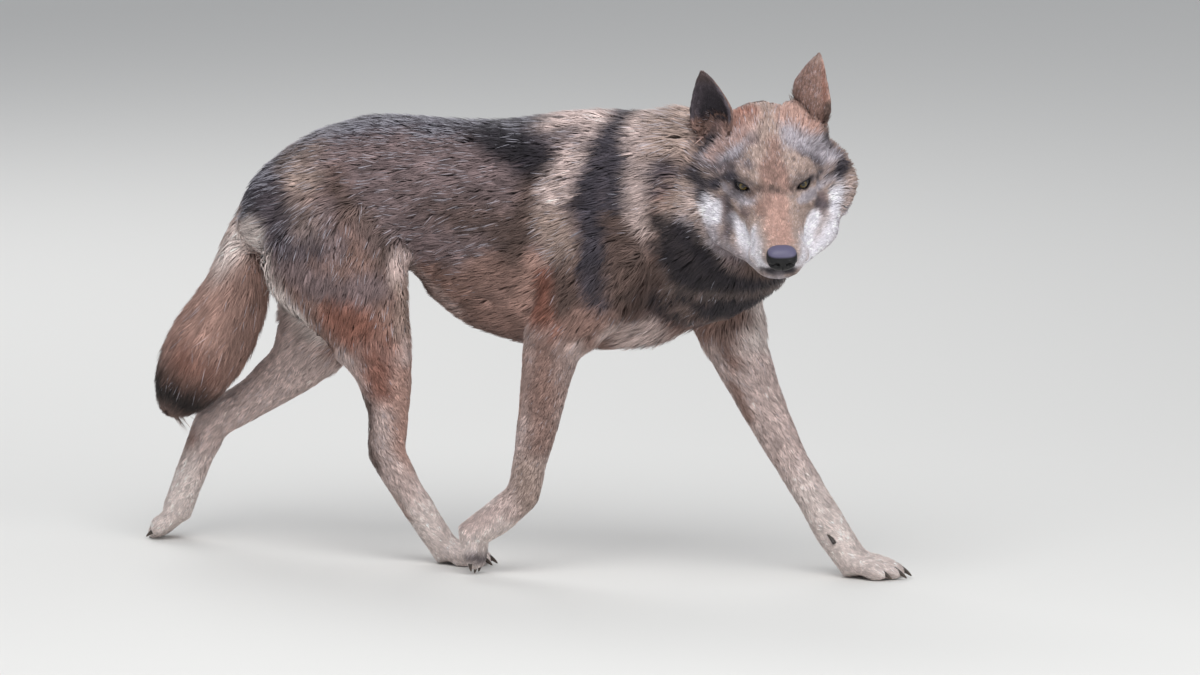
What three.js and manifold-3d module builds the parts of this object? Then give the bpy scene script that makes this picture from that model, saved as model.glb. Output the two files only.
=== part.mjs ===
// Grey wolf at a slow trot with its head turned to its right, as one life-size still model.
// Millimetres. +X is the way the body heads, +Y the animal's left, +Z up, and the floor is z = 0.
// The solids give the outline out to the tips of the coat.
import * as THREE from "three";
import { mergeVertices } from "three/addons/utils/BufferGeometryUtils.js";
import Module from "manifold-3d";

const wasm = await Module();
wasm.setup();

const gap = 0.4; // clearance between neighbouring solids
const limbSides = 10;
const bodySides = 16;
const headSides = 16;
const toeSides = 6;
const clawSides = 5;

const furMaterial = (color) => new THREE.MeshStandardMaterial({ color, roughness: 0.9, metalness: 0 });
const materials = {
  back: furMaterial("#5d554f"),
  flank: furMaterial("#80695a"),
  face: furMaterial("#9a8478"),
  leg: furMaterial("#b39a8b"),
  paw: furMaterial("#cdbfb6"),
  ear: furMaterial("#a8705c"),
  nose: new THREE.MeshStandardMaterial({ color: "#232328", roughness: 0.45, metalness: 0 }),
  eye: new THREE.MeshStandardMaterial({ color: "#b08a3c", roughness: 0.15, metalness: 0 }),
  claw: new THREE.MeshStandardMaterial({ color: "#38322e", roughness: 0.5, metalness: 0 }),
};

const vec = (p) => new THREE.Vector3(...p);

// ---- general shapes ----

function solidOf(geometry) {
  const bare = geometry.index ? geometry.toNonIndexed() : geometry.clone();
  bare.deleteAttribute("normal");
  bare.deleteAttribute("uv");
  const merged = mergeVertices(bare, 1e-3);
  return new wasm.Manifold(
    new wasm.Mesh({
      numProp: 3,
      vertProperties: merged.attributes.position.array,
      triVerts: new Uint32Array(merged.index.array),
    }),
  );
}

// A closed body through oval rings. A station has its centre `at` and the half-sizes side, front and back,
// where side lies along `left` and front is the way that left turned forward about the path points.
// keel narrows the back half of the ring, as the underside of a chest is narrowed. grow thickens it all.
function loft(stations, { sides, steps = 2, left = [0, 1, 0], grow = 0 }) {
  const path = new THREE.CatmullRomCurve3(stations.map((s) => vec(s.at)), false, "centripetal");
  const sizes = new THREE.CatmullRomCurve3(stations.map((s) => vec([s.side, s.front, s.back])), false, "catmullrom", 0.4);
  const keels = new THREE.CatmullRomCurve3(stations.map((s) => vec([s.keel ?? 0, 0, 0])), false, "catmullrom", 0.4);
  const rings = (stations.length - 1) * steps + 1;
  const places = [];
  for (let ring = 0; ring < rings; ring++) {
    const t = ring / (rings - 1);
    const centre = path.getPoint(t);
    const along = path.getTangent(t);
    const size = sizes.getPoint(t).addScalar(grow);
    const keel = keels.getPoint(t).x;
    const leftward = vec(left).addScaledVector(along, -vec(left).dot(along)).normalize();
    const forward = along.clone().cross(leftward);
    for (let i = 0; i < sides; i++) {
      const angle = (i / sides) * 2 * Math.PI;
      const up = Math.sin(angle);
      const across = size.x * Math.cos(angle) * (1 - keel * Math.max(0, -up));
      places.push(
        centre.clone().addScaledVector(leftward, across).addScaledVector(forward, up * (up > 0 ? size.y : size.z)),
      );
    }
  }
  places.push(path.getPoint(0), path.getPoint(1));
  const faces = [];
  const [firstCap, lastCap] = [rings * sides, rings * sides + 1];
  for (let i = 0; i < sides; i++) {
    const next = (i + 1) % sides;
    for (let ring = 0; ring < rings - 1; ring++) {
      const [low, high] = [ring * sides, (ring + 1) * sides];
      faces.push(low + i, low + next, high + next, low + i, high + next, high + i);
    }
    faces.push(firstCap, next, i, lastCap, firstCap - sides + i, firstCap - sides + next);
  }
  const geometry = new THREE.BufferGeometry().setFromPoints(places);
  geometry.setIndex(faces);
  return geometry;
}

// An oval lump of the half-sizes given, turned by Euler angles in degrees.
function lump(at, radii, turn = [0, 0, 0], [around, down] = [12, 8]) {
  const shape = new THREE.SphereGeometry(1, around, down);
  const turned = new THREE.Euler(...turn.map(THREE.MathUtils.degToRad));
  const placed = new THREE.Matrix4().compose(vec(at), new THREE.Quaternion().setFromEuler(turned), vec(radii));
  return shape.applyMatrix4(placed);
}

const joined = (geometries) => geometries.map(solidOf).reduce((whole, each) => whole.add(each));

// A thin square slab across the body at a point, facing along `normal`.
function cutAt(at, normal, reach) {
  const slab = new THREE.BoxGeometry(reach * 2, reach * 2, gap);
  const facing = new THREE.Quaternion().setFromUnitVectors(vec([0, 0, 1]), vec(normal).normalize());
  return solidOf(slab.applyMatrix4(new THREE.Matrix4().compose(vec(at), facing, vec([1, 1, 1]))));
}

const floorBlock = solidOf(new THREE.BoxGeometry(3000, 1000, 200).translate(0, 0, -100));

// ---- head, built level in its own frame: origin midway between the eyes, +X to the nose ----

const head = {
  at: [424, -118, 638], // between the eyes
  yaw: -63, // turned to the animal's right
  pitch: 25, // nose down
  roll: 1,
  eyeSpread: 46,
  eyeRadius: 12,
};
const headPlace = new THREE.Matrix4().compose(
  vec(head.at),
  new THREE.Quaternion().setFromEuler(
    new THREE.Euler(...[head.roll, head.pitch, head.yaw].map(THREE.MathUtils.degToRad), "ZYX"),
  ),
  vec([1, 1, 1]),
);
const onHead = (geometry) => geometry.applyMatrix4(headPlace);

const skullStations = [
  { at: [-172, 0, 0], side: 46, front: 42, back: 50 },
  { at: [-148, 0, 0], side: 74, front: 60, back: 74 },
  { at: [-108, 0, -6], side: 86, front: 66, back: 84 },
  { at: [-70, 0, -12], side: 88, front: 66, back: 84 },
  { at: [-36, 0, -20], side: 82, front: 60, back: 76 },
  { at: [-8, 0, -28], side: 71, front: 48, back: 62 },
  { at: [18, 0, -36], side: 56, front: 36, back: 48 },
  { at: [46, 0, -42], side: 45, front: 29, back: 40 },
  { at: [80, 0, -46], side: 38, front: 24, back: 33 },
  { at: [110, 0, -48], side: 35, front: 20, back: 27 },
  { at: [130, 0, -50], side: 29, front: 17, back: 21 },
  { at: [141, 0, -51], side: 18, front: 10, back: 12 },
];
// the fans of long hair on the cheeks
const ruffStations = [
  { at: [-164, 0, -24], side: 62, front: 48, back: 60 },
  { at: [-142, 0, -27], side: 106, front: 72, back: 90 },
  { at: [-108, 0, -34], side: 131, front: 76, back: 98 },
  { at: [-74, 0, -44], side: 141, front: 70, back: 96 },
  { at: [-42, 0, -58], side: 134, front: 60, back: 86 },
  { at: [-12, 0, -70], side: 113, front: 46, back: 70 },
  { at: [18, 0, -79], side: 88, front: 33, back: 49 },
  { at: [46, 0, -84], side: 62, front: 24, back: 32 },
  { at: [72, 0, -85], side: 38, front: 14, back: 18 },
];
const jawStations = [
  { at: [-40, 0, -92], side: 40, front: 18, back: 24 },
  { at: [-10, 0, -92], side: 54, front: 26, back: 32 },
  { at: [26, 0, -90], side: 49, front: 24, back: 29 },
  { at: [62, 0, -86], side: 40, front: 20, back: 24 },
  { at: [94, 0, -83], side: 31, front: 16, back: 20 },
  { at: [116, 0, -82], side: 24, front: 14, back: 18 },
  { at: [127, 0, -81], side: 12, front: 8, back: 10 },
];
const mirrored = (at, side) => [at[0], at[1] * side, at[2]];
const browLump = (side) => lump(mirrored([-26, 38, 17], side), [34, 24, 14], [0, 16, side * -20], [8, 5]);
const whiskerPad = (side) => lump(mirrored([98, 18, -58], side), [36, 20, 18], [0, 0, side * -7], [8, 5]);

const eyeAt = (side) => [-3, side * head.eyeSpread, -3];
const eyeBall = (side, grow = 0) => {
  const radius = head.eyeRadius + grow;
  return onHead(lump(eyeAt(side), [radius, radius, radius], [0, 0, 0], [10, 6]));
};

const noseShape = (grow = 0) => {
  const pad = (at, radii, rounds) => lump(at, radii.map((r) => r + grow), [0, 0, 0], rounds);
  return joined([pad([137, 0, -44], [17, 23, 15], [10, 6]), pad([139, 0, -56], [14, 15, 11], [8, 5])].map(onHead));
};

// An ear is a thin cup, an arc of skin that narrows to the tip, leaning from `base` to `tip`.
const ear = { half: 38, wall: 5, rise: 7, across: 6, root: [54, 46, 42] };
const earPlaces = {
  left: { root: [-104, 54, 27], base: [-104, 62, 42], tip: [-118, 82, 163], opens: [-0.55, 0.83, 0] },
  right: { root: [-96, -58, 16], base: [-88, -76, 26], tip: [-104, -104, 146], opens: [0.75, -0.65, 0.1] },
};
function earShell({ base, tip, opens }, grow = 0) {
  const upward = vec(tip).sub(vec(base));
  const height = upward.length();
  upward.normalize();
  const outward = vec(opens).addScaledVector(upward, -vec(opens).dot(upward)).normalize();
  const sideways = upward.clone().cross(outward);
  const frame = new THREE.Matrix4().makeBasis(outward, sideways, upward).setPosition(vec(base));
  const places = [];
  for (const layer of [0, 1])
    for (let i = 0; i <= ear.rise; i++) {
      const up = i / ear.rise;
      const half = ear.half * (1 - 0.3 * Math.max(0, 1 - up / 0.35)) * Math.pow(1 - Math.pow(up, 2.2), 0.85) + 2;
      const wall = layer * (ear.wall - 2.5 * up + grow) - (1 - layer) * grow;
      const wrap = THREE.MathUtils.degToRad(108 - 42 * up) + grow / half;
      for (let j = 0; j <= ear.across; j++) {
        const angle = (j / ear.across - 0.5) * 2 * wrap;
        const radius = half - wall;
        const arch = -14 * up * (1 - up);
        const rise = up * height + (layer ? -2 - grow : grow * (2 * up - 1));
        places.push(vec([arch + half * 0.4 - Math.cos(angle) * radius * 0.75, Math.sin(angle) * radius, rise]));
      }
    }
  const row = ear.across + 1;
  const layerSize = row * (ear.rise + 1);
  const faces = [];
  const quad = (a, b, c, d) => faces.push(a, b, c, a, c, d);
  for (let i = 0; i < ear.rise; i++)
    for (let j = 0; j < ear.across; j++) {
      const a = i * row + j;
      quad(a + 1, a, a + row, a + row + 1);
      quad(layerSize + a, layerSize + a + 1, layerSize + a + row + 1, layerSize + a + row);
    }
  for (let i = 0; i < ear.rise; i++) {
    const [first, last] = [i * row, i * row + ear.across];
    quad(first, layerSize + first, layerSize + first + row, first + row);
    quad(layerSize + last, last, last + row, layerSize + last + row);
  }
  for (let j = 0; j < ear.across; j++) {
    const top = ear.rise * row + j;
    quad(j, j + 1, layerSize + j + 1, layerSize + j);
    quad(top + 1, top, layerSize + top, layerSize + top + 1);
  }
  const shell = new THREE.BufferGeometry().setFromPoints(places);
  shell.setIndex(faces);
  return onHead(shell.applyMatrix4(frame));
}

const skullSolid = joined(
  [
    loft(skullStations, { sides: headSides, steps: 1 }),
    loft(ruffStations, { sides: headSides, steps: 1 }),
    ...[1, -1].flatMap((side) => [browLump(side), whiskerPad(side)]),
    ...Object.values(earPlaces).map(({ root }) => lump(root, ear.root, [0, 0, 0], [8, 6])),
  ].map(onHead),
);

// ---- trunk and neck ----

const spineStations = [
  { at: [-500, 0, 532], side: 18, front: 18, back: 22 },
  { at: [-486, 0, 532], side: 48, front: 38, back: 56 },
  { at: [-450, 0, 540], side: 76, front: 68, back: 90 },
  { at: [-374, 0, 562], side: 90, front: 101, back: 112 },
  { at: [-280, 0, 582], side: 90, front: 119, back: 126 },
  { at: [-180, 0, 584], side: 96, front: 122, back: 142, keel: 0.1 },
  { at: [-92, 0, 560], side: 108, front: 147, back: 196, keel: 0.18 },
  { at: [0, 0, 552], side: 117, front: 164, back: 216, keel: 0.22 },
  { at: [90, 0, 556], side: 120, front: 174, back: 222, keel: 0.26 },
  { at: [172, 0, 566], side: 122, front: 164, back: 214, keel: 0.26 },
  { at: [246, -4, 578], side: 128, front: 158, back: 192, keel: 0.18 },
  { at: [304, -24, 590], side: 130, front: 150, back: 170, keel: 0.1 },
  { at: [342, -56, 600], side: 116, front: 126, back: 148 },
  { at: [368, -94, 606], side: 84, front: 88, back: 108 },
  { at: [384, -122, 606], side: 30, front: 30, back: 40 },
];
const neckCut = { at: [214, -2, 560], normal: [1, -0.08, -0.1] };
const headCut = { at: [338, -36, 590], normal: [0.62, -0.72, -0.22] };

const tailStations = [
  { at: [-470, 0, 540], side: 26, front: 26, back: 26 },
  { at: [-498, 0, 508], side: 34, front: 32, back: 30 },
  { at: [-512, 0, 470], side: 42, front: 38, back: 36 },
  { at: [-526, 0, 416], side: 54, front: 54, back: 52 },
  { at: [-550, 0, 336], side: 66, front: 72, back: 70 },
  { at: [-578, 0, 284], side: 64, front: 68, back: 66 },
  { at: [-606, 0, 240], side: 50, front: 54, back: 50 },
  { at: [-622, 0, 214], side: 26, front: 30, back: 26 },
  { at: [-628, 0, 204], side: 8, front: 8, back: 8 },
];

// ---- legs: girths shared by left and right, joints placed for the stride ----

const foreGirths = {
  blade: { side: 22, front: 36, back: 34 },
  shoulder: { side: 50, front: 90, back: 76 },
  upperArm: { side: 46, front: 78, back: 68 },
  elbow: { side: 38, front: 46, back: 54 },
  topForearm: { side: 32, front: 42, back: 42 },
  forearm: { side: 27, front: 36, back: 36 },
  lowForearm: { side: 24, front: 28, back: 30 },
  wrist: { side: 26, front: 28, back: 28 },
  pastern: { side: 28, front: 25, back: 30 },
  knuckle: { side: 36, front: 22, back: 30 },
  toeRoot: { side: 33, front: 17, back: 20 },
};
const hindGirths = {
  croup: { side: 18, front: 36, back: 30 },
  hip: { side: 52, front: 98, back: 102 },
  thigh: { side: 51, front: 120, back: 112 },
  stifle: { side: 47, front: 78, back: 78 },
  calf: { side: 35, front: 47, back: 47 },
  lowCalf: { side: 27, front: 34, back: 34 },
  hock: { side: 26, front: 30, back: 34 },
  cannon: { side: 23, front: 26, back: 27 },
  pastern: { side: 24, front: 23, back: 24 },
  knuckle: { side: 32, front: 20, back: 27 },
  toeRoot: { side: 30, front: 16, back: 19 },
};

// toes is the way the digits point and top the way their upper side faces. reach and spread scale
// their length and their fan, and hang is how far their tips bend.
const legs = {
  fore_right: {
    girths: foreGirths,
    joints: {
      blade: [128, -26, 576],
      shoulder: [136, -84, 510],
      upperArm: [98, -92, 430],
      elbow: [54, -96, 360],
      topForearm: [40, -97, 308],
      forearm: [30, -97, 246],
      lowForearm: [17, -98, 182],
      wrist: [6, -102, 124],
      pastern: [-36, -109, 84],
      knuckle: [-70, -116, 58],
      toeRoot: [-72, -116, 44],
    },
    toes: [0.3, 0, -0.95],
    top: [0.95, 0, 0.3],
    reach: 0.72,
    spread: 0.78,
    hang: 0.8,
    cuts: [
      { at: [62, -96, 384], normal: [0.3, 0, 0.95], reach: 105 },
      { at: [-20, -106, 98], normal: [0.75, 0, 0.6], reach: 60 },
    ],
  },
  fore_left: {
    girths: foreGirths,
    joints: {
      blade: [172, 26, 576],
      shoulder: [216, 84, 508],
      upperArm: [264, 88, 424],
      elbow: [300, 83, 340],
      topForearm: [322, 79, 288],
      forearm: [350, 75, 236],
      lowForearm: [388, 69, 174],
      wrist: [426, 62, 120],
      pastern: [462, 57, 70],
      knuckle: [500, 54, 23.5],
      toeRoot: [518, 54, 22],
    },
    toes: [1, 0.04, 0],
    top: [0, 0, 1],
    reach: 1.12,
    spread: 1.05,
    hang: 1,
    cuts: [
      { at: [290, 85, 364], normal: [-0.42, 0, 0.9], reach: 105 },
      { at: [446, 59, 92], normal: [-0.55, 0, 0.83], reach: 60 },
    ],
  },
  hind_right: {
    girths: hindGirths,
    joints: {
      croup: [-356, -14, 584],
      hip: [-330, -75, 524],
      thigh: [-300, -77, 446],
      stifle: [-258, -84, 374],
      calf: [-232, -81, 296],
      lowCalf: [-228, -75, 236],
      hock: [-233, -69, 174],
      cannon: [-205, -57, 116],
      pastern: [-176, -44, 66],
      knuckle: [-146, -33, 22],
      toeRoot: [-132, -33, 21],
    },
    toes: [1, 0, 0],
    top: [0, 0, 1],
    reach: 1,
    spread: 0.95,
    hang: 1,
    cuts: [
      { at: [-250, -84, 346], normal: [-0.2, 0, 1], reach: 120 },
      { at: [-188, -57, 92], normal: [-0.55, 0, 0.83], reach: 60 },
    ],
  },
  hind_left: {
    girths: hindGirths,
    joints: {
      croup: [-372, 14, 580],
      hip: [-356, 75, 518],
      thigh: [-366, 77, 430],
      stifle: [-400, 84, 342],
      calf: [-446, 81, 276],
      lowCalf: [-508, 76, 228],
      hock: [-576, 68, 184],
      cannon: [-600, 62, 128],
      pastern: [-616, 58, 84],
      knuckle: [-628, 55, 42.5],
      toeRoot: [-640, 55, 33],
    },
    toes: [-0.66, 0, -0.75],
    top: [0.75, 0, -0.66],
    reach: 0.86,
    spread: 0.9,
    hang: 0.35,
    cuts: [
      { at: [-414, 83, 318], normal: [0.65, 0, 0.76], reach: 120 },
      { at: [-609, 60, 104], normal: [0.3, 0, 0.95], reach: 60 },
    ],
  },
};

// In the paw's own frame: origin at the knuckles, +X along the toes, +Z the top of the foot.
const paw = { toeReach: { outer: 52, middle: 68 }, toeSpread: { outer: 29, middle: 11.5 }, claw: 17 };
const toeKinds = [
  { name: "outer", kind: "outer", side: -1 },
  { name: "mid_outer", kind: "middle", side: -1 },
  { name: "mid_inner", kind: "middle", side: 1 },
  { name: "inner", kind: "outer", side: 1 },
];

function pawFrame(leg) {
  const forward = vec(leg.toes).normalize();
  const leftward = vec(leg.top).normalize().cross(forward).normalize();
  const upward = forward.clone().cross(leftward);
  return new THREE.Matrix4().makeBasis(forward, leftward, upward).setPosition(vec(leg.joints.knuckle));
}

function toeShape({ kind, side }, leg) {
  const reach = paw.toeReach[kind] * leg.reach;
  const spread = paw.toeSpread[kind] * leg.spread * side;
  const station = (along, out, drop, half, above, below) => ({
    at: [reach * along, spread * out, -drop * leg.hang],
    side: half,
    front: above,
    back: below,
  });
  const stations = [
    station(-0.1, 0.66, 3, 10, 11, 12),
    station(0.34, 0.86, 2, 13, 14, 16),
    station(0.7, 1, 8, 14, 13, 18),
    station(0.93, 1.04, 14, 11, 9, 12),
    station(1, 1.05, 17, 5, 4, 6),
  ];
  return loft(stations, { sides: toeSides, steps: 1 }).applyMatrix4(pawFrame(leg));
}

function clawShape({ kind, side }, leg, grow = 0) {
  const root = paw.toeReach[kind] * leg.reach - 7;
  const spread = paw.toeSpread[kind] * leg.spread * side * 1.05;
  const drop = 11 * leg.hang;
  const stations = [
    { at: [root, spread, -drop], side: 2.8, front: 3.2, back: 3.2 },
    { at: [root + paw.claw * 0.6, spread, -drop - 1], side: 2.4, front: 2.7, back: 2.7 },
    { at: [root + paw.claw * 1.15, spread, -drop - 8], side: 0.7, front: 0.7, back: 0.7 },
  ];
  return loft(stations, { sides: clawSides, steps: 1, grow }).applyMatrix4(pawFrame(leg));
}

// The fifth claw, high on the inner side of the pastern, on the fore legs only.
function dewClaw(leg, side, grow = 0) {
  const [x, y, z] = leg.joints.pastern;
  const along = vec(leg.joints.knuckle).sub(vec(leg.joints.pastern)).normalize();
  const root = [x, y + side * 26, z];
  const point = (reach, out) => vec(root).addScaledVector(along, reach).add(vec([0, side * out, 0])).toArray();
  return loft(
    [
      { at: point(-2, -2), side: 2.8, front: 2.8, back: 2.8 },
      { at: point(8, 4), side: 2.6, front: 2.6, back: 2.6 },
      { at: point(18, 3), side: 0.6, front: 0.6, back: 0.6 },
    ],
    { sides: clawSides, steps: 1, grow },
  );
}

// ---- joining and parting ----

const wolf = new THREE.Group();

function addPart(name, solid, material) {
  const { numProp, numVert, vertProperties, triVerts } = solid.getMesh();
  const places = new Float32Array(numVert * 3);
  for (let i = 0; i < numVert; i++) places.set(vertProperties.subarray(i * numProp, i * numProp + 3), i * 3);
  const geometry = new THREE.BufferGeometry();
  geometry.setAttribute("position", new THREE.BufferAttribute(places, 3));
  geometry.setIndex(new THREE.BufferAttribute(new Uint32Array(triVerts), 1));
  geometry.computeVertexNormals();
  const mesh = new THREE.Mesh(geometry, material);
  mesh.name = name;
  wolf.add(mesh);
}

// Parts a solid with thin cuts and hands back its pieces in order along `order`.
function partedInOrder(solid, cuts, order) {
  const pieces = cuts.reduce((rest, cut) => rest.subtract(cut), solid).decompose();
  const middle = (piece) => {
    const { min, max } = piece.boundingBox();
    return min.reduce((sum, low, i) => sum + ((low + max[i]) / 2) * order[i], 0);
  };
  return pieces.filter((piece) => piece.volume() > 1).sort((a, b) => middle(a) - middle(b));
}

// Each leg sits in a socket in the trunk, so the trunk loses a slightly thicker copy of its upper part.
let body = solidOf(loft(spineStations, { sides: bodySides }));
for (const [name, leg] of Object.entries(legs)) {
  const side = name.endsWith("left") ? 1 : -1;
  const fore = name.startsWith("fore");
  const stations = Object.entries(leg.girths).map(([joint, girth]) => ({ at: leg.joints[joint], ...girth }));
  const limb = joined([
    loft(stations, { sides: limbSides, steps: 1 }),
    ...toeKinds.map((toe) => toeShape(toe, leg)),
  ]).subtract(floorBlock);
  body = body.subtract(solidOf(loft(stations, { sides: limbSides, steps: 1, grow: gap })));
  const clawKinds = toeKinds.map((toe) => ({
    name: `${name}_claw_${toe.name}`,
    shape: (grow) => clawShape(toe, leg, grow),
  }));
  if (fore) clawKinds.push({ name: `${name}_dewclaw`, shape: (grow) => dewClaw(leg, -side, grow) });
  const sockets = joined(clawKinds.map((claw) => claw.shape(gap)));
  const cuts = leg.cuts.map((cut) => cutAt(cut.at, cut.normal, cut.reach));
  const pieces = partedInOrder(limb.subtract(sockets), cuts, [0, 0, -1]);
  const labels = fore ? ["shoulder", "foreleg", "paw"] : ["thigh", "lower_leg", "paw"];
  const finishes = [materials.flank, materials.leg, materials.paw];
  pieces.forEach((piece, i) => addPart(`${name}_${labels[i] ?? `scrap_${i}`}`, piece, finishes[i] ?? materials.leg));
  for (const claw of clawKinds)
    addPart(claw.name, solidOf(claw.shape(0)).subtract(floorBlock), materials.claw);
}

const tailShape = (grow) => solidOf(loft(tailStations, { sides: 10, steps: 1, grow }));
addPart("tail", tailShape(0), materials.flank);

// The skull and spine are one flesh, then thin cuts part them.
const jawShape = (grow) => solidOf(onHead(loft(jawStations, { sides: 12, steps: 1, grow })));
const ears = Object.entries(earPlaces);
const hollows = [
  ...ears.map(([, place]) => solidOf(earShell(place, gap))),
  solidOf(eyeBall(1, gap)),
  solidOf(eyeBall(-1, gap)),
  noseShape(gap),
  jawShape(gap),
];
const flesh = hollows.reduce((rest, hollow) => rest.subtract(hollow), body.subtract(tailShape(gap)).add(skullSolid));
const bodyCuts = [cutAt(headCut.at, headCut.normal, 240), cutAt(neckCut.at, neckCut.normal, 260)];
const bodyNames = ["trunk", "neck", "head"];
const bodyFinishes = [materials.back, materials.flank, materials.face];
partedInOrder(flesh, bodyCuts, [1, 0, 0]).forEach((piece, i) =>
  addPart(bodyNames[i] ?? `scrap_${i}`, piece, bodyFinishes[i] ?? materials.back),
);
addPart("lower_jaw", jawShape(0).subtract(noseShape(gap)), materials.face);
addPart("nose", noseShape(), materials.nose);
for (const side of [1, -1]) addPart(side > 0 ? "eye_left" : "eye_right", solidOf(eyeBall(side)), materials.eye);
for (const [side, place] of ears) addPart(`ear_${side}`, solidOf(earShell(place)), materials.ear);

// The origin lies on the floor under the middle of the bounding box.
const middle = new THREE.Box3().setFromObject(wolf).getCenter(new THREE.Vector3());
wolf.position.set(-middle.x, -middle.y, 0);

export default wolf;
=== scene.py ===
# A grey wolf at a slow trot with its head turned to its right: one skin, a coat of small closed
# tufts over it, and separate eyes, nose and claws.
import math
import time

import bmesh
import bpy
import numpy as np
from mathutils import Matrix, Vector
from mathutils.kdtree import KDTree


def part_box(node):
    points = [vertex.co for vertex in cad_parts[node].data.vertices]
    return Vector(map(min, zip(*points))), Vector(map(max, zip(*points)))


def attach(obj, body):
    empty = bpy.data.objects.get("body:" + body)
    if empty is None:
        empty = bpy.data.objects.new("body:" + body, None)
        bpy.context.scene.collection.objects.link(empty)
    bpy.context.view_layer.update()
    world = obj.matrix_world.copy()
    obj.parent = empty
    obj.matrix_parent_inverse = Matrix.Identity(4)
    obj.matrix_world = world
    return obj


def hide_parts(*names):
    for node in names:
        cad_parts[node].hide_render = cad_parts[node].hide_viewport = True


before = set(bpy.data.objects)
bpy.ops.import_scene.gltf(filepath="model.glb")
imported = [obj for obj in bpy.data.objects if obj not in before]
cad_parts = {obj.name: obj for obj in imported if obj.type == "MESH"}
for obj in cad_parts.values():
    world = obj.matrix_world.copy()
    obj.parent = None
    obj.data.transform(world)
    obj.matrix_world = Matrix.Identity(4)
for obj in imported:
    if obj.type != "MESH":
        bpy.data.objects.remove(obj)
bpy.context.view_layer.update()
startTime = time.time()
mm = 0.001


def report(stage):
    print(f"[{time.time() - startTime:6.1f} s] {stage}")


# small helpers
def linear(hexColour):
    # sRGB hex to the linear colour that Blender works in
    parts = [int(hexColour[i : i + 2], 16) / 255 for i in (1, 3, 5)]
    return np.array([c / 12.92 if c <= 0.04045 else ((c + 0.055) / 1.055) ** 2.4 for c in parts])


def unit(v):
    return v / np.maximum(np.linalg.norm(v, axis=-1, keepdims=True), 1e-9)


def mix(a, b, share):
    return a + (b - a) * share


def rise(value, start, over):
    # 0 up to the start and 1 from there on by the distance over, which is negative for a fall
    return np.clip((value - start) / over, 0, 1)


def hill(distance, reach, power=2):
    # 1 in the middle, fading out round it
    return np.exp(-((distance / reach) ** power))


def eased(share):
    return share * share * (3 - 2 * share)


def addNode(tree, kind, settings=None, values=None, links=None):
    # one node with its settings, its input values and what feeds it
    node = tree.nodes.new(kind)
    for key, value in (settings or {}).items():
        setattr(node, key, value)
    for key, value in (values or {}).items():
        node.inputs[key].default_value = value
    for key, socket in (links or {}).items():
        tree.links.new(socket, node.inputs[key])
    return node


def newMaterial(name):
    material = bpy.data.materials.new(name)
    material.use_nodes = True
    material.node_tree.nodes.clear()
    return material


def finishMaterial(material, shader):
    addNode(material.node_tree, "ShaderNodeOutputMaterial", links={"Surface": shader.outputs[0]})
    return material


def meshFrom(name, places, faces):
    # places (n, 3) and faces (m, k), every face with k corners
    places = np.ascontiguousarray(places, dtype=np.float32)
    faces = np.ascontiguousarray(faces, dtype=np.int32)
    mesh = bpy.data.meshes.new(name)
    mesh.vertices.add(len(places))
    mesh.vertices.foreach_set("co", places.ravel())
    mesh.loops.add(faces.size)
    mesh.loops.foreach_set("vertex_index", faces.ravel())
    mesh.polygons.add(len(faces))
    mesh.polygons.foreach_set("loop_start", np.arange(len(faces), dtype=np.int32) * faces.shape[1])
    mesh.update(calc_edges=True)
    mesh.polygons.foreach_set("use_smooth", np.ones(len(faces), dtype=bool))
    thing = bpy.data.objects.new(name, mesh)
    bpy.context.scene.collection.objects.link(thing)
    return thing


def arraysOf(mesh):
    places = np.zeros(len(mesh.vertices) * 3)
    mesh.vertices.foreach_get("co", places)
    mesh.calc_loop_triangles()
    triangles = np.zeros(len(mesh.loop_triangles) * 3, dtype=np.int64)
    mesh.loop_triangles.foreach_get("vertices", triangles)
    return places.reshape(-1, 3), triangles.reshape(-1, 3)


def afterModifiers(thing):
    return arraysOf(thing.evaluated_get(bpy.context.evaluated_depsgraph_get()).to_mesh())


def normalsOf(places, triangles):
    a, b, c = (places[triangles[:, i]] for i in range(3))
    faceNormals = np.cross(b - a, c - a)
    normals = np.zeros_like(places)
    for corner in range(3):
        for axis in range(3):
            normals[:, axis] += np.bincount(triangles[:, corner], faceNormals[:, axis], len(places))
    return unit(normals)


def treeOf(points):
    tree = KDTree(len(points))
    for i, point in enumerate(points):
        tree.insert(point, i)
    tree.balance()
    return tree


def nearestOf(tree, points):
    return np.array([tree.find(point)[1] for point in points], dtype=np.int64)


def middleOf(node):
    low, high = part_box(node)
    return np.array((low + high) / 2)


# stage: pale floor, soft studio light and a long lens
stageSettings = {
    "floorSize": 60.0,
    "floorGap": 0.5 * mm,  # under the lowest pads, so that no faces lie in one another
    "floorColour": "#d9d8d5",
    "floorRoughness": 0.85,
    "worldColour": "#e4e7ec",
    "worldStrength": 0.62,
    "azimuth": 20.0,  # degrees round from the right side towards the head
    "elevation": 8.5,
    "distance": 50.0,
    "aim": (0.1107, 0.1281, 0.3503),
    "widthSeen": 1.875,  # metres across the view, at the wolf
    "sensor": 36,  # mm wide
    "farthest": 100,  # metres that the camera sees
    "lightAim": (0.1, 0, 0.4),
}
softboxes = {  # place, size and power
    "softbox_above": ((0.8, -2.6, 4.2), 3.4, 150),
    "softbox_front": ((4.0, -2.0, 2.2), 2.4, 50),
    "softbox_behind": ((-2.5, 3.0, 3.2), 2.6, 70),
}


def makeFloor(s):
    bpy.ops.mesh.primitive_plane_add(size=s["floorSize"], location=(0, 0, -s["floorGap"]))
    floor = bpy.context.object
    floor.name = "studio_floor"
    material = newMaterial("matte_studio_paper")  # plain and pale, no sheen
    shader = addNode(
        material.node_tree,
        "ShaderNodeBsdfPrincipled",
        values={"Base Color": (*linear(s["floorColour"]), 1), "Roughness": s["floorRoughness"]},
    )
    floor.data.materials.append(finishMaterial(material, shader))


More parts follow.
